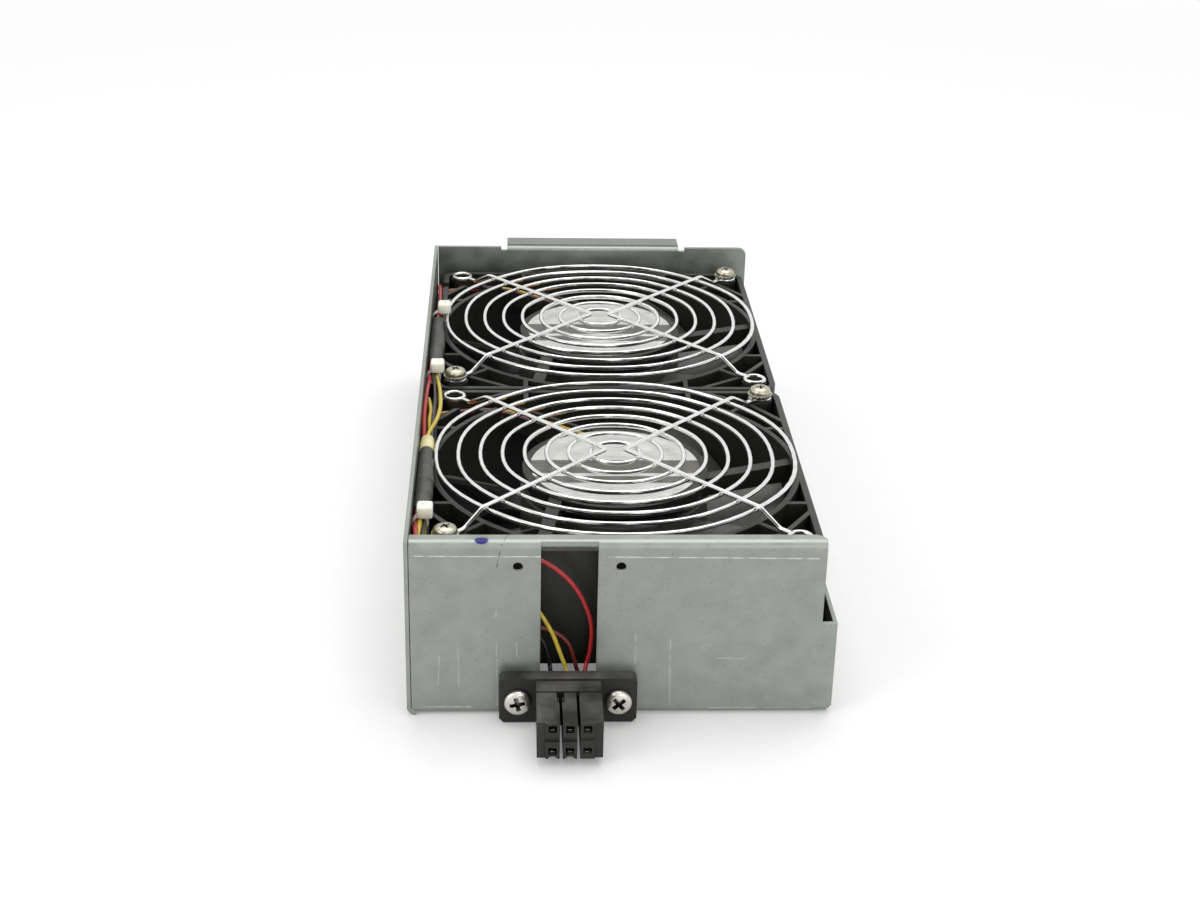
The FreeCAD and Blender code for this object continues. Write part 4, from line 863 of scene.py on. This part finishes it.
def addSleeves(tube):
    half = tube["length"] / 2
    stations = [tube["length"] * k / tube["stations"] - half for k in range(tube["stations"] + 1)]
    for node, look in sleeves.items():
        shape = bmesh.new()
        rings = [sleeveRing(shape, tube, look, along, True) for along in (half, 0, -half)]
        rings += [sleeveRing(shape, tube, look, along, False) for along in stations]
        bridgeRings(shape, rings, True)
        newPiece(look["name"], shape, tube["smooth"], "sleeve_plastic", "tray", node)


def sleeveRing(shape, tube, look, along, inside):
    # thick places grow away from the wall and the fan
    aside = 0 if inside else max(0, stepRadius(look["steps"], along) - tube["fit"])
    ring = []
    for turn in turnsOf(tube["segments"]):
        across, up = onCircle(tube["inner"] if inside else skinRadius(tube, look, along, turn), turn)
        ring.append(shape.verts.new(atBundle(aside + across, look["y"] + along, aside + up)))
    return ring


def stepRadius(steps, along):
    for (start, r0), (end, r1) in zip(steps, steps[1:]):
        if along <= end:
            return r0 + (r1 - r0) * (along - start) / (end - start)
    return steps[-1][1]


def skinRadius(tube, look, along, turn):
    across, up = onCircle(tube["dentAround"], turn)
    dent = min(0, noise.noise((across, up, along * tube["dentAlong"] + look["seed"]))) * tube["dent"]
    toEnd = tube["length"] / 2 - abs(along)
    pinch = tube["pinch"] * math.exp(-(toEnd / tube["pinchLength"]) ** 2)
    return max(tube["inner"] + tube["leastWall"], stepRadius(look["steps"], along) + dent - pinch)


addSleeves(sleeveShape)

collar = {
    "y": -53.0, "segments": 36, "smooth": 40,
    "profile": [(2.02, -4.5), (2.1, -4.5), (2.2, -4.2), (2.22, -1.0), (2.42, -0.7), (2.44, 0.5), (2.3, 0.8),
                (2.36, 4.1), (2.28, 4.5), (2.02, 4.5)],
}
lyingForward = Matrix.Rotation(math.pi / 2, 4, "X")  # a lathe's height runs towards the front


def addCollar(look):
    shape = lathe(look["profile"], look["segments"], True)
    shape.transform(Matrix.Translation(atBundle(0, look["y"], 0)) @ lyingForward)
    newPiece("creamCollar", shape, look["smooth"], "cream_plastic", "tray", "wire_collar")


addCollar(collar)

ties = {
    "stations": {  # name, place along the leads, head's reach to the left
        "rear_cable_tie": ("rearTie", 62.7, 0.3),
        "middle_cable_tie": ("middleTie", 5.2, 1.0),
        "front_cable_tie": ("frontTie", -106.3, 1.0),
    },
    "inner": 2.03, "outer": 2.4, "ridge": 0.07, "width": 2.5, "teeth": 72, "chamfer": (0.2, 0.35),
    "head": (4.8, 5.2, 4.0), "headRise": 1.95, "round": 1.05, "roundSteps": 3, "roundProfile": 0.6,
    "window": 0.9, "windowDepth": 0.3, "smooth": 35,
}


def addTies(look):
    for node, (name, y, aside) in look["stations"].items():
        shape = bmesh.new()
        addStrap(shape, look, y)
        addHead(shape, look, y, aside)
        newPiece(name, shape, look["smooth"], "white_nylon", "tray", node)


def addStrap(shape, look, y):
    # fine cross ridges all round
    half = look["width"] / 2
    down, inward = look["chamfer"]
    rings = []
    for k, turn in enumerate(turnsOf(look["teeth"])):
        skin = look["outer"] + look["ridge"] * (k % 2)
        section = [(look["inner"], -half), (skin - down, -half), (skin, inward - half), (skin, half - inward),
                   (skin - down, half), (look["inner"], half)]
        ring = []
        for radius, along in section:
            across, up = onCircle(radius, turn)
            ring.append(shape.verts.new(atBundle(across, y + along, up)))
        rings.append(ring)
    bridgeRings(shape, rings, True)


def addHead(shape, look, y, aside):
    # rounded box with a sunk window
    width, length, height = look["head"]
    left = bundle["x"] - aside
    bottom = bundle["z"] + look["headRise"]
    corners = addBox(shape, (left, y - length / 2, bottom), (left + width, y + length / 2, bottom + height))
    edges = list(dict.fromkeys(edge for vert in corners for edge in vert.link_edges))
    rounding = {"segments": look["roundSteps"], "profile": look["roundProfile"], "affect": "EDGES"}
    rounded = bmesh.ops.bevel(shape, geom=edges, offset=look["round"] * mm, **rounding)
    faces = [face for vert in rounded["verts"] for face in vert.link_faces]
    top = max(faces, key=lambda face: face.calc_center_median().z)
    bmesh.ops.inset_individual(shape, faces=[top], thickness=look["window"] * mm)
    sunk = bmesh.ops.extrude_discrete_faces(shape, faces=[top])["faces"][0]
    bmesh.ops.translate(shape, verts=sunk.verts, vec=(0, 0, -look["windowDepth"] * mm))


addTies(ties)
print("sleeves, collar and ties placed")


# screws with cross recess
fanScrews = {
    "seat": 49.75, "slants": (20, 55, 8, 35), "segments": 40, "smooth": 35,  # slants: each cross, degrees
    "profile": [(0, -45.55), (1.5, -45.55), (1.95, -45.0), (1.95, 0.0), (4.25, 0.0), (4.3, 0.12), (4.3, 0.6),
                (4.15, 0.75), (3.55, 0.8), (3.6, 0.95), (3.55, 1.9), (3.3, 2.45), (2.7, 2.85), (1.6, 3.1),
                (0, 3.2)],
    "recess": {"reach": 2.3, "width": 1.0, "depth": 1.7, "top": 3.4},
    "teeth": {"from": 4.0, "to": 0.7, "share": 0.86},  # of the lock washer
}
connectorScrews = {
    "seat": -136.0, "apart": 29.5, "level": 7.4, "slants": (12, 40), "segments": 40, "smooth": 35,
    "profile": [(0, -7.5), (1.2, -7.5), (1.42, -7.2), (1.42, 0.0), (3.9, 0.0), (3.95, 0.15), (3.95, 1.1),
                (3.75, 1.7), (3.2, 2.15), (1.9, 2.35), (0, 2.4)],
    "recess": {"reach": 2.9, "width": 1.4, "depth": 2.5, "top": 2.6},
}
# how far the cutter stands above the head, and what is left of its arms at their bottom
recessForm = {"over": 1.0, "bottomLength": 0.45, "bottomWidth": 0.7}


def fanScrewPlaces(look):
    # on one diagonal of each fan
    for axis in (fanAxes["rear"], fanAxes["front"]):
        for side in (1, -1):
            yield side * holeOffset, axis + side * holeOffset, look["seat"]


def connectorScrewPlaces(look):
    for side in (-1, 1):
        yield plugMiddle + side * look["apart"] / 2, look["seat"], look["level"]


def addScrews(name, look, places, turn, slot, node):
    joined = bmesh.new()
    for place, slant in zip(places(look), look["slants"]):
        mesh = screwMesh(look, slant)
        mesh.transform(Matrix.Translation(Vector(place) * mm) @ turn)
        joined.from_mesh(mesh)
        bpy.data.meshes.remove(mesh)
    newPiece(name, joined, look["smooth"], slot, "tray", node)


def screwMesh(look, slant):
    body = lathe(look["profile"], look["segments"])
    if "teeth" in look:
        cutTeeth(body, look["teeth"], look["segments"])
    helpers = [helperObject(shape) for shape in (body, crossShape(look["recess"], slant))]
    cut = helpers[0].modifiers.new("crossRecess", "BOOLEAN")
    cut.operation = "DIFFERENCE"
    cut.use_self = True
    cut.object = helpers[1]
    made = evaluatedMesh(helpers[0])
    for helper in helpers:
        bpy.data.objects.remove(helper)
    return made


def cutTeeth(shape, teeth, segments):
    # every second point of the washer's rim stands back
    for vert in shape.verts:
        rim = vert.co.xy.length > teeth["from"] * mm and vert.co.z < teeth["to"] * mm
        step = round(math.atan2(vert.co.y, vert.co.x) * segments / (2 * math.pi))
        if rim and step % 2:
            vert.co.xy *= teeth["share"]


def crossShape(recess, slant):
    cross = bmesh.new()
    reach, half, top = recess["reach"], recess["width"] / 2, recess["top"]
    for turn in (0, 90):
        arm = addBox(cross, (-reach, -half, top - recess["depth"]), (reach, half, top + recessForm["over"]))
        for vert in arm:
            if vert.co.z < top * mm:
                vert.co.x *= recessForm["bottomLength"]
                vert.co.y *= recessForm["bottomWidth"]
        spin = Matrix.Rotation(math.radians(turn + slant), 3, "Z")
        bmesh.ops.rotate(cross, verts=arm, cent=(0, 0, 0), matrix=spin)
    return cross


def helperObject(shape):
    bmesh.ops.recalc_face_normals(shape, faces=shape.faces)
    mesh = bpy.data.meshes.new("screwHelper")
    shape.to_mesh(mesh)
    shape.free()
    helper = bpy.data.objects.new("screwHelper", mesh)
    scene.collection.objects.link(helper)
    return helper


upright = Matrix.Identity(4)
addScrews("fanScrewHeads", fanScrews, fanScrewPlaces, upright, "yellow_zinc_steel", "fan_screws")
addScrews("connectorScrewHeads", connectorScrews, connectorScrewPlaces, lyingForward, "nickel_steel",
          "connector_screws")
print("screws driven")


# spring contacts, two leaves in each cavity of the plug
contacts = {
    "columnGap": 4.95, "rows": (12.1, 4.8), "mouth": -157.1, "half": 0.6, "thick": 0.2, "smooth": 30,
    "leaf": [(0.0, 0.95), (0.7, 0.85), (1.6, 0.68), (3.2, 0.5), (5.0, 0.55), (10.5, 0.9)],  # depth, rise
    "shell": {"from": 10.0, "to": 25.6, "outer": 1.17, "inner": 0.95},
}


def addContacts(look):
    shape = bmesh.new()
    for column in (-1, 0, 1):
        x = plugMiddle + column * look["columnGap"]
        for z in look["rows"]:
            for side in (-1, 1):
                addLeaf(shape, look, x, z, side)
            addShell(shape, look, x, z)
    newPiece("springContacts", shape, look["smooth"], "contact_metal", "tray", "connector_contacts")


def contactRing(shape, x, y, z, corners):
    return [shape.verts.new(Vector((x + across, y, z + up)) * mm) for across, up in corners]


def addLeaf(shape, look, x, z, side):
    half = look["half"]
    rings = []
    for depth, rise in look["leaf"]:
        low, high = side * rise, side * (rise + look["thick"])
        corners = [(-half, low), (half, low), (half, high), (-half, high)]
        rings.append(contactRing(shape, x, look["mouth"] + depth, z, corners))
    shape.faces.new(rings[0])
    shape.faces.new(rings[-1])
    bridgeRings(shape, rings)


def addShell(shape, look, x, z):
    shell = look["shell"]
    rings = []
    for end, wall in (("from", "inner"), ("from", "outer"), ("to", "outer"), ("to", "inner")):
        rings.append(contactRing(shape, x, look["mouth"] + shell[end], z, squareCorners(shell[wall])))
    bridgeRings(shape, rings, True)


addContacts(contacts)
print("contacts fitted")


# plain pale floor, metres
floorLook = {
    "half": 2.5, "level": -0.0003, "colour": (0.9, 0.9, 0.895), "second": (0.94, 0.94, 0.935),
    "grain": 120.0, "rough": 0.85, "whiteStrength": 1.0,
    "shown": (0.15, 1.0), "fade": (0.4, 1.1),  # share of plain white, near and far from the middle
}


def addFloor(look):
    shape = bmesh.new()
    shape.faces.new([shape.verts.new((x, y, look["level"])) for x, y in squareCorners(look["half"])])
    mesh = bpy.data.meshes.new("paleFloor")
    shape.to_mesh(mesh)
    shape.free()
    floor = bpy.data.objects.new("paleFloor", mesh)
    scene.collection.objects.link(floor)
    material = bpy.data.materials.new("palePaper")
    material.use_nodes = True
    tree = material.node_tree
    shader = tree.nodes["Principled BSDF"]
    grain = placeGroup(tree, "fineGrain", Scale=look["grain"])
    colour = blendColour(tree, grain["Tone"], look["colour"], look["second"])
    tree.links.new(colour, shader.inputs["Base Color"])
    shader.inputs["Roughness"].default_value = look["rough"]
    white = tree.nodes.new("ShaderNodeEmission")
    white.inputs["Strength"].default_value = look["whiteStrength"]
    mixing = tree.nodes.new("ShaderNodeMixShader")
    away = vectorCalc(tree, "LENGTH", objectPoint(tree))
    shown = product(tree, seenWhite(tree), ranged(tree, away, *look["fade"], *look["shown"]))
    tree.links.new(shown, mixing.inputs[0])
    tree.links.new(shader.outputs[0], mixing.inputs[1])
    tree.links.new(white.outputs[0], mixing.inputs[2])
    tree.links.new(mixing.outputs[0], tree.nodes["Material Output"].inputs["Surface"])
    mesh.materials.append(material)


scene.view_settings.view_transform = "Standard"
addCamera(viewSetup)
addLights(lightSetup)
addFloor(floorLook)
print("camera, lights and floor placed")
